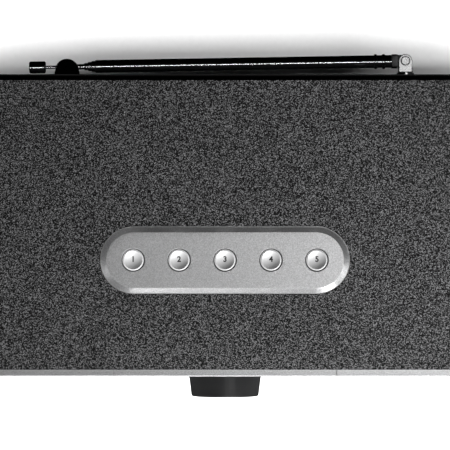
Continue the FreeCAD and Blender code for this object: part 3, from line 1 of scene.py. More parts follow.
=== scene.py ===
"""The visual model of a tabletop radio, built round its CAD frame.

Metres: X is right, Y is back, Z is up, and the tabletop is at z = 0.
"""
import bmesh
import bpy
import json
import math
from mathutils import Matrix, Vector


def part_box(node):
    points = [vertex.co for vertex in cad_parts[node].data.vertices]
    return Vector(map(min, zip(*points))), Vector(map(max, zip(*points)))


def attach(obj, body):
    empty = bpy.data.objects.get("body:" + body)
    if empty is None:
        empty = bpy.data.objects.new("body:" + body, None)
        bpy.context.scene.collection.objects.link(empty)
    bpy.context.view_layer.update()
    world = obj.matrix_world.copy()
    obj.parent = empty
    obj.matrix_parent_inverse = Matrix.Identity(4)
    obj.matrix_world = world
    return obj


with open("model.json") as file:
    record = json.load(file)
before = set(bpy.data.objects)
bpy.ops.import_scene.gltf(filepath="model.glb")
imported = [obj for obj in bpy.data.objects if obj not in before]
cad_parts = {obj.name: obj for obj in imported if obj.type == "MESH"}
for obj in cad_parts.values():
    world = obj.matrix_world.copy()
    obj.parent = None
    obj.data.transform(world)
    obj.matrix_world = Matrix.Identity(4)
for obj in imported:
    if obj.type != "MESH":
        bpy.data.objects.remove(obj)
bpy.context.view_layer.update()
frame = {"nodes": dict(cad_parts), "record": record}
NODES = frame["nodes"]
MM = 0.001


# ---------------------------------------------------------------- node materials


class Surface:
    """A Principled material whose patterns are laid out in the object's own metres.

    The patterns' values run from 0 to 1, and noise stays near 0.5, so most of it lies between 0.3 and 0.7.
    """

    def __init__(self, name, color, roughness, metallic=0.0, **constants):
        self.material = bpy.data.materials.new(name)
        self.material.use_nodes = True
        self.tree = self.material.node_tree
        self.shader = self.tree.nodes["Principled BSDF"]
        self.place = self.tree.nodes.new("ShaderNodeTexCoord").outputs["Object"]
        self.color = color
        self.bumped = None
        self.shader.inputs["Base Color"].default_value = (*color, 1)
        self.shader.inputs["Roughness"].default_value = roughness
        self.shader.inputs["Metallic"].default_value = metallic
        for socket, value in constants.items():
            self.shader.inputs[socket.replace("_", " ")].default_value = value

    def node(self, kind, **settings):
        made = self.tree.nodes.new("ShaderNode" + kind)
        for name, value in settings.items():
            setattr(made, name, value)
        return made

    def stretched(self, scale):
        """The place, stretched by a factor along each axis."""
        mapping = self.node("Mapping")
        mapping.inputs["Scale"].default_value = scale
        self.tree.links.new(self.place, mapping.inputs["Vector"])
        return mapping.outputs["Vector"]

    def noise(self, size, detail=2.0, rough=0.5, stretch=None):
        """Noise whose blobs are about size metres across."""
        made = self.node("TexNoise")
        made.inputs["Scale"].default_value = 1 / size
        made.inputs["Detail"].default_value = detail
        made.inputs["Roughness"].default_value = rough
        place = self.stretched(stretch) if stretch else self.place
        self.tree.links.new(place, made.inputs["Vector"])
        return made.outputs["Fac"]

    def cells(self, size, feature="F1", smooth=0.0, jitter=1.0):
        """Distance inside cells that are about size metres across."""
        made = self.node("TexVoronoi", feature="SMOOTH_F1" if smooth else feature)
        made.inputs["Scale"].default_value = 1 / size
        made.inputs["Randomness"].default_value = jitter
        if smooth:
            made.inputs["Smoothness"].default_value = smooth
        self.tree.links.new(self.place, made.inputs["Vector"])
        return made.outputs["Distance"]

    def flecks(self, size):
        """A random value for each cell about size metres across."""
        made = self.node("TexVoronoi")
        made.inputs["Scale"].default_value = 1 / size
        self.tree.links.new(self.place, made.inputs["Vector"])
        split = self.node("SeparateColor")
        self.tree.links.new(made.outputs["Color"], split.inputs["Color"])
        return split.outputs["Red"]

    def height(self):
        """The height above the tabletop."""
        split = self.node("SeparateXYZ")
        self.tree.links.new(self.place, split.inputs["Vector"])
        return split.outputs["Z"]

    def spread(self, value, low, high, start=0.3, end=0.7):
        """Maps a value that runs from start to end onto low to high."""
        made = self.node("MapRange")
        limits = {"From Min": start, "From Max": end, "To Min": low, "To Max": high}
        for name, number in limits.items():
            made.inputs[name].default_value = number
        self.tree.links.new(value, made.inputs["Value"])
        return made.outputs["Result"]

    def math(self, operation, first, second):
        made = self.node("Math", operation=operation)
        for socket, value in zip(made.inputs, (first, second)):
            if isinstance(value, (int, float)):
                socket.default_value = value
            else:
                self.tree.links.new(value, socket)
        return made.outputs[0]

    def mixed(self, first, first_share, second, second_share):
        """Two patterns added, each by its share."""
        return self.math("ADD", self.math("MULTIPLY", first, first_share),
                         self.math("MULTIPLY", second, second_share))

    def tint(self, value, low, high, start=0.3, end=0.7):
        """Colours the surface from low to high, each a colour or a factor of the surface's own colour."""
        ramp = self.node("ValToRGB")
        ramp.color_ramp.elements[0].position = start
        ramp.color_ramp.elements[1].position = end
        for element, factor in zip(ramp.color_ramp.elements, (low, high)):
            shade = factor if hasattr(factor, "__len__") else [factor * c for c in self.color]
            element.color = (*shade, 1)
        self.tree.links.new(value, ramp.inputs["Fac"])
        self.tree.links.new(ramp.outputs["Color"], self.shader.inputs["Base Color"])

    def gloss(self, value, low, high, start=0.3, end=0.7):
        """Varies the roughness between low and high."""
        roughness = self.spread(value, low, high, start, end)
        self.tree.links.new(roughness, self.shader.inputs["Roughness"])

    def bump(self, value, depth):
        """Raises the surface by depth metres times the value. Later bumps lie on earlier ones."""
        made = self.node("Bump")
        made.inputs["Distance"].default_value = depth
        made.inputs["Strength"].default_value = 1.0
        self.tree.links.new(value, made.inputs["Height"])
        if self.bumped:
            self.tree.links.new(self.bumped, made.inputs["Normal"])
        self.bumped = made.outputs["Normal"]
        self.tree.links.new(self.bumped, self.shader.inputs["Normal"])


def vinyl():
    """Embossed vinyl with a sharp grain under a millimetre across. Bright flecks in its colour are painted
    glints on the crests.
    """
    made = Surface("vinyl", (0.012, 0.012, 0.0123), 0.4, Specular_IOR_Level=0.2)
    crests_and_painted_glints = made.flecks(0.42 * MM)
    grain = made.noise(0.6 * MM, detail=2, rough=0.65)
    swell = made.noise(5 * MM, detail=3)
    relief_and_painted_glints = made.mixed(crests_and_painted_glints, 0.85, grain, 0.25)
    # Painted glints: random cells are tinted up to twenty times brighter, standing for crests that catch the
    # light.
    made.tint(relief_and_painted_glints, low=0.02, high=20.0, start=0.57, end=1.0)
    made.gloss(relief_and_painted_glints, low=0.75, high=0.4, start=0.4, end=0.8)
    made.bump(grain, 0.5 * MM)
    made.bump(crests_and_painted_glints, 0.1 * MM)
    made.bump(swell, 0.08 * MM)
    return made.material


def silver_paint(name, shade, rough):
    """Silver paint over moulded plastic: sandy metal flakes and a fine orange peel."""
    made = Surface(name, (shade, shade, shade * 1.01), rough, metallic=0.85)
    sand = made.noise(0.6 * MM, detail=2, rough=0.7)
    flakes = made.cells(0.2 * MM)
    peel = made.noise(1.4 * MM, detail=3, rough=0.6)
    sparkle = made.spread(flakes, low=-0.08, high=0.08, start=0.1, end=0.8)
    made.tint(made.math("SUBTRACT", sand, sparkle), low=0.74, high=1.24)
    made.gloss(peel, low=rough - 0.05, high=rough + 0.08)
    made.bump(sand, 0.03 * MM)
    made.bump(flakes, 0.012 * MM)
    return made.material


def button_metal():
    """Satin metallic caps, finely blasted. Below the rim, down in the hole in the plate, the colour fades to
    near black as painted shade in the gap round each cap.
    """
    made = Surface("button_metal", (0.88, 0.88, 0.885), 0.4, metallic=0.3)
    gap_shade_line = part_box("preset_button_1")[1][2] - 2.2 * MM
    fade = 0.1 * MM
    blast = made.noise(0.12 * MM, detail=2, rough=0.6)
    smudge = made.noise(4 * MM, detail=3, rough=0.6)
    # Painted shade: below this line, inside the plate's hole, the caps' colour drops to near black.
    painted_gap_shade = made.spread(made.height(), low=0.03, high=1.0, start=gap_shade_line - fade, end=gap_shade_line + fade)
    shade = made.math("MULTIPLY", made.spread(blast, low=0.92, high=1.0), painted_gap_shade)
    made.tint(shade, low=0.0, high=1.06, start=0.0, end=1.0)
    made.gloss(smudge, low=0.38, high=0.48)
    made.bump(blast, 0.006 * MM)
    return made.material


def moulded(name, color, rough, grain, depth, spec=0.5):
    """Moulded plastic with an etched grain, slight flow marks and finger-worn patches."""
    made = Surface(name, color, rough, Specular_IOR_Level=spec)
    etched = made.noise(grain, detail=3, rough=0.65)
    flow = made.noise(14 * MM, detail=4, rough=0.6)
    made.tint(made.mixed(etched, 0.6, flow, 0.4), low=0.82, high=1.2, start=0.35, end=0.65)
    made.gloss(flow, low=rough - 0.07, high=rough + 0.08)
    made.bump(etched, depth)
    return made.material


def chrome():
    """Polished plating with faint lines drawn along the tubes and slight haze."""
    made = Surface("chrome", (0.5, 0.5, 0.51), 0.12, metallic=1.0)
    drawn = made.noise(0.35 * MM, detail=3, rough=0.6, stretch=(0.06, 1, 1))
    haze = made.noise(9 * MM, detail=4, rough=0.6)
    made.tint(haze, low=0.94, high=1.03)
    made.gloss(haze, low=0.09, high=0.19)
    made.bump(drawn, 0.002 * MM)
    return made.material


def plated(name, color, rough):
    """Dull plated or oxidised steel with a ground finish."""
    made = Surface(name, color, rough, metallic=1.0)
    ground_finish = made.noise(0.2 * MM, detail=3, rough=0.6)
    cloud = made.noise(3 * MM, detail=3)
    made.tint(cloud, low=0.8, high=1.15)
    made.gloss(cloud, low=rough - 0.06, high=rough + 0.1)
    made.bump(ground_finish, 0.008 * MM)
    return made.material


def powder_coat():
    """Satin black coating with a soft orange peel and worn patches."""
    made = Surface("powder_coat", (0.016, 0.016, 0.017), 0.45, Specular_IOR_Level=0.45)
    peel = made.cells(0.4 * MM, smooth=0.5)
    worn = made.noise(7 * MM, detail=4, rough=0.65)
    made.tint(worn, low=0.85, high=1.35)
    made.gloss(worn, low=0.38, high=0.54)
    made.bump(peel, 0.03 * MM)
    return made.material


def fibreboard(name, color):
    """Pressed fibres lying along the board, with cloudy patches."""
    made = Surface(name, color, 0.85, Specular_IOR_Level=0.2)
    fibres = made.noise(0.7 * MM, detail=5, rough=0.7, stretch=(1, 0.35, 1))
    cloud = made.noise(12 * MM, detail=3)
    made.tint(made.mixed(fibres, 0.7, cloud, 0.3), low=0.65, high=1.25, start=0.35, end=0.65)
    made.gloss(fibres, low=0.8, high=0.95)
    made.bump(fibres, 0.06 * MM)
    return made.material


def paper_cone():
    """Pressed paper pulp with fibres and fine felt marks."""
    made = Surface("paper_cone", (0.03, 0.03, 0.03), 0.86, Specular_IOR_Level=0.2)
    fibres = made.noise(0.9 * MM, detail=6, rough=0.75, stretch=(1, 1, 0.4))
    specks = made.spread(made.cells(1.6 * MM), low=0.12, high=-0.12)
    made.tint(made.math("ADD", fibres, specks), low=0.6, high=1.7, start=0.35, end=0.7)
    made.gloss(fibres, low=0.78, high=0.94)
    made.bump(fibres, 0.05 * MM)
    return made.material


def rubber(name, color, rough):
    """Rubber or soft plastic with a matt skin and a little dust."""
    made = Surface(name, color, rough, Specular_IOR_Level=0.4)
    skin = made.noise(0.5 * MM, detail=3, rough=0.6)
    dust = made.noise(5 * MM, detail=5, rough=0.7)
    made.tint(dust, low=0.8, high=1.7, start=0.35, end=0.75)
    made.gloss(dust, low=rough - 0.08, high=rough + 0.12)
    made.bump(skin, 0.02 * MM)
    return made.material


def smoked_lens():
    """Clear grey acrylic with a hard coat and the faintest haze."""
    made = Surface("smoked_lens", (0.012, 0.012, 0.014), 0.05, Alpha=0.62, IOR=1.49,
                   Coat_Weight=1.0, Coat_Roughness=0.03)
    haze = made.noise(6 * MM, detail=4, rough=0.6)
    made.tint(haze, low=0.9, high=1.15)
    made.gloss(haze, low=0.035, high=0.09)
    made.material.surface_render_method = "BLENDED"
    return made.material


def lcd_glass():
    """Dark display glass with a faint grid of pixels."""
    made = Surface("lcd_glass", (0.012, 0.016, 0.02), 0.14, Coat_Weight=0.6, Coat_Roughness=0.05)
    dots = made.cells(0.5 * MM, jitter=0.0)
    made.tint(dots, low=1.25, high=0.75, start=0.25, end=0.6)
    made.gloss(made.noise(8 * MM, detail=3), low=0.1, high=0.2)
    made.bump(dots, 0.004 * MM)
    return made.material


def circuit_board():
    """Green solder mask with raised copper tracks, smoother over its pads."""
    made = Surface("circuit_board", (0.012, 0.085, 0.032), 0.38, Specular_IOR_Level=0.5)
    tracks = made.cells(5 * MM, feature="DISTANCE_TO_EDGE", jitter=0.35)
    pads = made.cells(2.4 * MM, jitter=0.15)
    over_copper = (0.03, 0.17, 0.07)
    over_board = (0.01, 0.075, 0.028)
    made.tint(tracks, low=over_copper, high=over_board, start=0.03, end=0.07)
    made.gloss(pads, low=0.28, high=0.44, start=0.1, end=0.4)
    made.bump(made.spread(tracks, low=1, high=0, start=0.02, end=0.07), 0.03 * MM)
    return made.material


def ferrite():
    """Sintered ferrite with visible grains."""
    made = Surface("ferrite", (0.045, 0.045, 0.048), 0.55, metallic=0.3)
    grains = made.cells(0.5 * MM)
    made.tint(grains, low=1.3, high=0.7, start=0.1, end=0.8)
    made.gloss(made.noise(2 * MM, detail=3), low=0.45, high=0.65)
    made.bump(made.noise(0.3 * MM, detail=4, rough=0.7), 0.02 * MM)
    return made.material


def ink(name, color):
    """Screen-printed ink, slightly uneven in its colour and its gloss."""
    made = Surface(name, color, 0.5)
    grain = made.noise(0.15 * MM, detail=3)
    made.tint(grain, low=0.8, high=1.3)
    made.gloss(grain, low=0.42, high=0.6)
    made.bump(grain, 0.004 * MM)
    return made.material


def lit_segments():
    """Lit display segments, slightly uneven."""
    made = Surface("segments", (0.5, 0.6, 0.62), 0.5, Emission_Strength=1.5,
                   Emission_Color=(0.62, 0.86, 1.0, 1))
    grain = made.noise(0.4 * MM, detail=2)
    made.tint(grain, low=0.9, high=1.1)
    made.gloss(grain, low=0.45, high=0.55)
    return made.material


def paint(material, names):
    """Gives each of these CAD nodes one finish."""
    for name in names:
        mesh = NODES[name].data
        mesh.materials.clear()
        mesh.materials.append(material)
        for polygon in mesh.polygons:
            polygon.material_index = 0


SIDES = ("left", "right")
PRESETS = range(1, 6)
KEYS = ("power", "source", "menu", "back")
BUTTON_NODES = [f"preset_button_{number}" for number in PRESETS]
KEY_NODES = [f"{key}_button" for key in KEYS]
TUBE_NODES = [f"aerial_tube_{number}" for number in PRESETS] + ["aerial_tip"]
HINGE_NODES = ["aerial_bush", "aerial_swivel", "aerial_pin"]
ZINC = plated("zinc_plate", (0.55, 0.55, 0.54), 0.3)
DARK_INK = ink("ink", (0.012, 0.012, 0.012))
PALE_INK = ink("pale_ink", (0.6, 0.6, 0.6))

FINISHES = [
    (vinyl(), ["vinyl_wrap"]),
    (fibreboard("fibreboard", (0.24, 0.16, 0.09)), ["cabinet_box"]),
    (fibreboard("black_board", (0.014, 0.014, 0.014)), ["front_baffle"]),
    (silver_paint("silver_paint", shade=0.6, rough=0.33), ["preset_plate"]),
    # The fascia's silver is a lighter copy of the plate's paint; the extra lightness is painted sheen on its
    # rounded front edge.
    (silver_paint("fascia_silver_with_painted_sheen", shade=0.68, rough=0.36),
     ["centre_panel"] + [f"grille_frame_{side}" for side in SIDES]),
    (powder_coat(), [f"{part}_{side}" for part in ("grille_mesh", "speaker_basket") for side in SIDES]),
    (button_metal(), BUTTON_NODES),
    (moulded("knob_plastic", (0.042, 0.042, 0.043), 0.36, grain=0.25 * MM, depth=0.004 * MM),
     ["tuning_knob"]),
    (moulded("black_plastic", (0.004, 0.004, 0.0042), 0.62, grain=0.4 * MM, depth=0.03 * MM, spec=0.08),
     ["rear_cover", "bass_port", "aerial_clip", "dc_jack", "audio_jacks"]),
    (moulded("key_plastic", (0.02, 0.02, 0.021), 0.36, grain=0.25 * MM, depth=0.008 * MM), KEY_NODES),
    (moulded("switch_plastic", (0.03, 0.03, 0.03), 0.5, grain=0.3 * MM, depth=0.01 * MM),
     ["front_switches", "preset_switches", "encoder_rotor"]),
    (moulded("nylon", (0.62, 0.61, 0.56), 0.5, grain=0.4 * MM, depth=0.01 * MM), ["pcb_spacers"]),
    (chrome(), TUBE_NODES),
    (plated("cast_plating", (0.5, 0.5, 0.5), 0.24), HINGE_NODES),
    (ZINC, ["encoder_body", "encoder_shaft", "encoder_nut"]),
    (plated("black_oxide", (0.05, 0.05, 0.05), 0.42),
     ["case_screws", "foot_screws", "board_screws", "speaker_screws"]),
    (ferrite(), [f"speaker_magnet_{side}" for side in SIDES]),
    (paper_cone(), [f"speaker_cone_{side}" for side in SIDES]),
    (rubber("surround", (0.02, 0.02, 0.02), 0.55), [f"speaker_suspension_{side}" for side in SIDES]),
    (rubber("rubber", (0.018, 0.018, 0.018), 0.7), ["rubber_feet"]),
    (rubber("cable_jacket", (0.16, 0.16, 0.17), 0.5), ["ribbon_cables", "speaker_wires"]),
    (circuit_board(), ["front_pcb", "preset_pcb", "main_pcb"]),
    (smoked_lens(), ["display_lens"]),
    (lcd_glass(), ["lcd_module"]),
]
for finish, names in FINISHES:
    paint(finish, names)


# ---------------------------------------------------------------- printed marks


MERGE_DISTANCE = 1e-7
LONGEST_EDGE = 0.6 * MM
MAX_CUTS = 5


def printed(name, outlines, surface, lift, body, material):
    """Thin closed marks on a surface. outlines are flat polygons; surface maps one of their points to
    (place, outward direction). Each mark stands lift above the surface and reaches as far below it."""
    flat = bmesh.new()
    for outline in outlines:
        flat.faces.new([flat.verts.new((x, y, 0)) for x, y in outline])
    bmesh.ops.remove_doubles(flat, verts=flat.verts[:], dist=MERGE_DISTANCE)
    bmesh.ops.triangulate(flat, faces=flat.faces[:])
    for _ in range(MAX_CUTS):
        long_edges = [edge for edge in flat.edges if edge.calc_length() > LONGEST_EDGE]
        if not long_edges:
            break
        bmesh.ops.subdivide_edges(flat, edges=long_edges, cuts=1)
        bmesh.ops.triangulate(flat, faces=flat.faces[:])
    bmesh.ops.remove_doubles(flat, verts=flat.verts[:], dist=MERGE_DISTANCE)
    solid = bmesh.ops.extrude_face_region(flat, geom=flat.faces[:])
    raised = {item for item in solid["geom"] if isinstance(item, bmesh.types.BMVert)}
    for vert in flat.verts:
        place, outward = surface(vert.co.x, vert.co.y)
        vert.co = place + outward * (lift if vert in raised else -lift)
    bmesh.ops.recalc_face_normals(flat, faces=flat.faces[:])
    mesh = bpy.data.meshes.new(name)
    flat.to_mesh(mesh)
    flat.free()
    mesh.materials.append(material)
    piece = bpy.data.objects.new(name, mesh)
    bpy.context.scene.collection.objects.link(piece)
    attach(piece, body)
    return piece


X = Vector((1, 0, 0))
Y = Vector((0, 1, 0))
Z = Vector((0, 0, 1))
LIFT = 0.03 * MM


def box_middle(name):
    low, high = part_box(name)
    return (Vector(low) + Vector(high)) / 2


def dome(centre, radius, rise, right, up):
    """A surface over a domed cap whose highest point is centre."""
    out = right.cross(up)
    ball = (radius * radius + rise * rise) / (2 * rise)
    middle = centre - out * ball

    def surface(x, y):
        flat = right * x + up * y
        outward = (flat + out * math.sqrt(ball * ball - x * x - y * y)).normalized()
        return middle + outward * ball, outward

    return surface


def facing(node, centre, right, up):
    """The surface of a node as it's met by looking straight at it, along a line of sight through centre."""
    out = right.cross(up)
    away = 0.2

    def surface(x, y):
        start = centre + right * x + up * y + out * away
        found, place, _, _ = NODES[node].ray_cast(start, -out)
        if not found:
            raise ValueError(f"a mark on {node} is off its surface")
        return place, out

    return surface


# The marks below are drawn in millimetres, from the middle of what they are printed on.


def bar(x, y, width, height):
    """An upright rectangle whose middle is (x, y)."""
    left, right = x - width / 2, x + width / 2
    low, high = y - height / 2, y + height / 2
    return [[(left, low), (right, low), (right, high), (left, high)]]


def arc(x, y, inner, outer, start, end, steps=28):
    """A band round (x, y) between two angles in degrees, counted from the right."""
    turns = [math.radians(start + (end - start) * i / steps) for i in range(steps + 1)]
    rims = [[(x + r * math.cos(turn), y + r * math.sin(turn)) for turn in turns] for r in (inner, outer)]
    return [[rims[0][i], rims[1][i], rims[1][i + 1], rims[0][i + 1]] for i in range(steps)]


def arrow(x, y, length, width, way):
    """A solid arrowhead that points right (way 1) or left (way -1)."""
    back, tip = x - way * length / 2, x + way * length / 2
    return [[(back, y - width / 2), (tip, y), (back, y + width / 2)]]


def in_metres(outlines):
    return [[(x * MM, y * MM) for x, y in outline] for outline in outlines]


DIGIT_HEIGHT = 3.1
DIGIT_SHIFT = 0.6
DIGIT_WEIGHT = 0.03
CURVE_STEPS = 6
CAP_RADIUS = 5.2 * MM
CAP_CROWN = 1.4 * MM


def digit_outlines(text, height):
    """The flat outlines of a plain numeral, centred on its own middle."""
    curve = bpy.data.curves.new("numeral", "FONT")
    curve.body = text
    curve.size = 1
    curve.offset = DIGIT_WEIGHT
    curve.resolution_u = CURVE_STEPS
    holder = bpy.data.objects.new("numeral", curve)
    bpy.context.scene.collection.objects.link(holder)
    bpy.context.view_layer.update()
    mesh = bpy.data.meshes.new_from_object(holder)
    bpy.data.objects.remove(holder)
    points = [vertex.co.copy() for vertex in mesh.vertices]
    low = Vector((min(p.x for p in points), min(p.y for p in points)))
    high = Vector((max(p.x for p in points), max(p.y for p in points)))
    scale = height / (high.y - low.y)
    middle = (low + high) / 2
    return [[((points[i].x - middle.x) * scale, (points[i].y - middle.y) * scale) for i in polygon.vertices]
            for polygon in mesh.polygons]


for number, node in zip(PRESETS, BUTTON_NODES):
    crest = box_middle(node)
    crest.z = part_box(node)[1][2]
    cap = dome(crest, CAP_RADIUS, CAP_CROWN, X, Y)
    centred = digit_outlines(str(number), DIGIT_HEIGHT)
    numeral = in_metres([[(x, y + DIGIT_SHIFT) for x, y in outline] for outline in centred])
    printed(f"preset_numeral_{number}", numeral, cap, LIFT, f"preset_{number}", DARK_INK)

KEY_SIGNS = {
    "power": arc(0, -0.1, inner=1.25, outer=1.65, start=125, end=415) + bar(0, 1.1, width=0.4, height=1.7),
    "source": bar(-0.4, 0.8, width=2.2, height=0.4) + arrow(1.3, 0.8, length=1.2, width=1.4, way=1)
    + bar(0.4, -0.8, width=2.2, height=0.4) + arrow(-1.3, -0.8, length=1.2, width=1.4, way=-1),
    "menu": [outline for y in (1.1, 0, -1.1) for outline in bar(0, y, width=3.2, height=0.45)],
    "back": bar(0.7, 0, width=2.2, height=0.45) + arrow(-1.1, 0, length=1.6, width=2.2, way=-1),
}
for key, node in zip(KEYS, KEY_NODES):
    key_face = facing(node, box_middle(node), X, Z)
    printed(f"{key}_sign", in_metres(KEY_SIGNS[key]), key_face, LIFT, f"{key}_key", PALE_INK)

POINTER = bar(0, 13.9, width=1.2, height=4.4)
POINTER_LIFT = 0.12 * MM
knob_face = facing("tuning_knob", box_middle("tuning_knob"), X, Z)
printed("knob_pointer", in_metres(POINTER), knob_face, POINTER_LIFT, "knob", PALE_INK)

CLOCK = [(-29, "1"), (-20, "0"), (-7, "3"), (2, "8")]
CLOCK_WIDTH = 6.6
CLOCK_HEIGHT = 12.5
STROKE = 1.3
COLON_X = -10.3
COLON_RISE = 2.4
LIT = {"0": "abcdef", "1": "bc", "3": "abcdg", "8": "abcdefg"}
LEVELS = 6
LEVEL_X = 15
LEVEL_PITCH = 3
LEVEL_WIDTH = 1.9
LEVEL_FOOT = -6.2
FIRST_LEVEL = 2
LEVEL_STEP = 1.4


def clock_digit(digit, x):
    """The lit segments of a seven-segment digit that starts at x, with the usual letters a to g."""
    gap = STROKE * 0.15
    half = CLOCK_HEIGHT / 2
    near = x + STROKE / 2
    far = x + CLOCK_WIDTH - STROKE / 2
    middle = x + CLOCK_WIDTH / 2
    across = CLOCK_WIDTH - STROKE - 2 * gap
    upright = half - STROKE / 2 - 2 * gap
    segments = {
        "a": (middle, half - STROKE / 2, across, STROKE),
        "b": (far, half / 2, STROKE, upright),
        "c": (far, -half / 2, STROKE, upright),
        "d": (middle, STROKE / 2 - half, across, STROKE),
        "e": (near, -half / 2, STROKE, upright),
        "f": (near, half / 2, STROKE, upright),
        "g": (middle, 0, across, STROKE),
    }
    return [outline for name in LIT[digit] for outline in bar(*segments[name])]


def level_bar(level):
    """One bar of a row that grows to the right."""
    tall = FIRST_LEVEL + LEVEL_STEP * level
    return bar(LEVEL_X + LEVEL_PITCH * level, tall / 2 + LEVEL_FOOT, LEVEL_WIDTH, tall)


shown = [outline for x, digit in CLOCK for outline in clock_digit(digit, x)]
for y in (COLON_RISE, -COLON_RISE):
    shown += bar(COLON_X, y, STROKE, STROKE)
for level in range(LEVELS):
    shown += level_bar(level)
display_face = facing("lcd_module", box_middle("lcd_module"), X, Z)
printed("display_segments", in_metres(shown), display_face, LIFT, "cabinet", lit_segments())

DC_SIGN = bar(0, 0.5, width=3.6, height=0.45)
for x in (-1.35, 0, 1.35):
    DC_SIGN += bar(x, -0.5, width=0.9, height=0.45)
LINE_IN_SIGN = arc(0.9, 0, inner=1.15, outer=1.5, start=0, end=360) \
    + bar(-1.6, 0, width=1.8, height=0.4) + arrow(-0.2, 0, length=1.2, width=1.3, way=1)
HEADPHONE_SIGN = arc(0, 0, inner=1.45, outer=1.85, start=0, end=180)
for x in (-1.6, 1.6):
    HEADPHONE_SIGN += bar(x, -0.6, width=0.8, height=1.5)
MOUNTS = {mount["name"]: Vector(mount["pos_m"]) for mount in frame["record"]["mounts"]}
SOCKETS = [("dc_jack", "dc_inlet", 2.8, DC_SIGN), ("audio_jacks", "aux_jack", 1.8, LINE_IN_SIGN),
           ("audio_jacks", "headphone_jack", 1.8, HEADPHONE_SIGN)]
RING_GAP = 0.08
RING_WIDTH = 0.67
RING_STEPS = 48
RING_LIFT = 0.15 * MM
SIGN_RISE = 7.5 * MM
for node, mount, bore, sign in SOCKETS:
    hole = MOUNTS[mount]
    label = f"{node}_{abs(round(hole.x / MM))}"
    inner = bore + RING_GAP
    ring = in_metres(arc(0, 0, inner, inner + RING_WIDTH, start=0, end=360, steps=RING_STEPS))
    nose = facing(node, hole, -X, Z)
    printed(f"socket_ring_{label}", ring, nose, RING_LIFT, "cabinet", ZINC)
    above = facing("rear_cover", hole + Z * SIGN_RISE, -X, Z)
    printed(f"socket_sign_{label}", in_metres(sign), above, LIFT, "cabinet", PALE_INK)


# ---------------------------------------------------------------- floor and camera


FLOOR_SIZE = 8
FLOOR_CUTS = 8
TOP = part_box("vinyl_wrap")[1][2]
SENSOR = 36.0

# The camera looks straight down from above the lid, where its frame is this wide.
CAMERA_HEIGHT = 1.9
FRAME_WIDTH = 0.2446

bpy.ops.mesh.primitive_grid_add(size=FLOOR_SIZE, x_subdivisions=FLOOR_CUTS, y_subdivisions=FLOOR_CUTS)
floor = bpy.context.object
floor.name = "floor"
floor.visible_glossy = False
paper = Surface("floor_paper", (0.86, 0.86, 0.86), 0.8)
paper.tint(paper.noise(3 * MM, detail=3), low=0.985, high=1.015)
paper.gloss(paper.noise(3 * MM, detail=3), low=0.75, high=0.85)
floor.data.materials.append(paper.material)

camera_data = bpy.data.cameras.new("camera")
camera_data.sensor_width = SENSOR
camera_data.lens = SENSOR * CAMERA_HEIGHT / FRAME_WIDTH
camera = bpy.data.objects.new("camera", camera_data)
camera.location = (0, 0, TOP + CAMERA_HEIGHT)
bpy.context.scene.collection.objects.link(camera)
bpy.context.scene.camera = camera


# ---------------------------------------------------------------- lights


def area_light(name, place, target, width, depth, power):
    """A soft box that hangs at place and faces target."""
    data = bpy.data.lights.new(name, "AREA")
    data.shape = "RECTANGLE"
    data.size = width
    data.size_y = depth
    data.energy = power
    lamp = bpy.data.objects.new(name, data)
    lamp.location = place
    lamp.rotation_euler = (Vector(target) - Vector(place)).to_track_quat("-Z", "Y").to_euler()
    bpy.context.scene.collection.objects.link(lamp)
    return lamp


def reach(lamp, objects, state):
    """Limits a light to some objects (INCLUDE), or keeps it off them (EXCLUDE)."""
    group = bpy.data.collections.new(lamp.name + "_reach")
    for item in objects:
        group.objects.link(item)
    lamp.light_linking.receiver_collection = group
    for entry in group.collection_objects:
        entry.light_linking.link_state = state


TUBES = [NODES[name] for name in TUBE_NODES]
HINGE = [NODES[name] for name in HINGE_NODES]
BUTTONS = [NODES[name] for name in BUTTON_NODES]
REAR = [NODES["rear_cover"], NODES["aerial_clip"]]
PLATE = NODES["preset_plate"]
VINYL = NODES["vinyl_wrap"]
LID = (0, 0, 0.11)

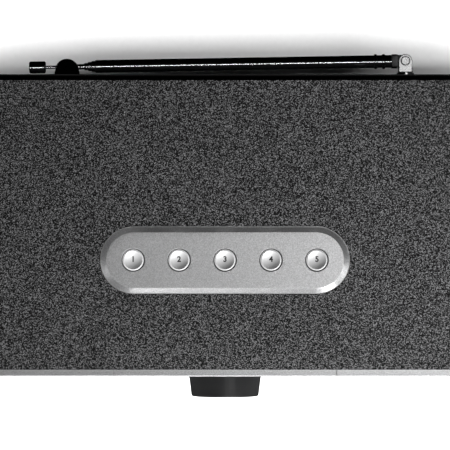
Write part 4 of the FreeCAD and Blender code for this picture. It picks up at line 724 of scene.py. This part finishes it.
# The key comes from behind and the left, the fill from overhead, and the front light from the listener.
key = area_light("key", (-0.6, 1.6, 1.0), target=(0, 0, 0.1), width=0.6, depth=0.5, power=34)
reach(key, [floor, *TUBES, *HINGE, *REAR, VINYL], "EXCLUDE")
fill = area_light("top", (0.42, -0.06, 1.35), target=(0.02, 0, 0.1), width=0.6, depth=0.6, power=3.5)
reach(fill, [floor, *TUBES, *BUTTONS, *REAR, VINYL], "EXCLUDE")
front = area_light("front", (0.5, -2.1, 0.7), target=(0, 0, 0.06), width=1.6, depth=0.9, power=34)
reach(front, [floor, *BUTTONS, *REAR, PLATE, VINYL], "EXCLUDE")

# These light one thing each: the vinyl, the caps, the two ends of the tray, the rear cover and the tubes.
grain = area_light("grain", (0.32, -0.4, 0.55), target=LID, width=0.4, depth=0.4, power=8.5)
reach(grain, [VINYL], "INCLUDE")
caps = area_light("caps", (-0.6, 0.72, 0.62), target=LID, width=0.4, depth=0.4, power=11)
reach(caps, BUTTONS, "INCLUDE")
left_end = area_light("end_left", (1.2, 0.5, 0.8), target=LID, width=0.6, depth=0.6, power=3.2)
reach(left_end, [PLATE], "INCLUDE")
right_end = area_light("end_right", (-1.2, 0.5, 0.8), target=LID, width=0.6, depth=0.6, power=8)
reach(right_end, [PLATE], "INCLUDE")
back = area_light("back", (0.7, 1.9, 0.16), target=(0, 0.08, 0.06), width=1.2, depth=0.2, power=30)
reach(back, REAR, "INCLUDE")
strip = area_light("strip", (0.0, -0.2, 2.4), target=(0, 0.085, 0.1), width=2.4, depth=0.06, power=9)
reach(strip, TUBES, "INCLUDE")

# The floor has its own lights, so that it stays white and has a soft shadow behind the radio.
ground = area_light("ground", (0.0, -0.53, 2.2), target=(0, -0.53, 0), width=1.6, depth=0.94, power=170)
reach(ground, [floor], "INCLUDE")
overhead = area_light("overhead", (0.0, 0.095, 2.2), target=(0, 0.095, 0), width=1.6, depth=0.11, power=19)
reach(overhead, [floor], "INCLUDE")

# The world is a pale backdrop for the camera alone, and lights nothing.
world = bpy.data.worlds.new("studio")
world.use_nodes = True
backdrop = world.node_tree.nodes["Background"]
backdrop.inputs["Color"].default_value = (1, 1, 1, 1)
backdrop.inputs["Strength"].default_value = 0.7
world.cycles_visibility.diffuse = False
world.cycles_visibility.glossy = False
world.cycles_visibility.transmission = False
bpy.context.scene.world = world
bpy.context.scene.view_settings.view_transform = "Standard"
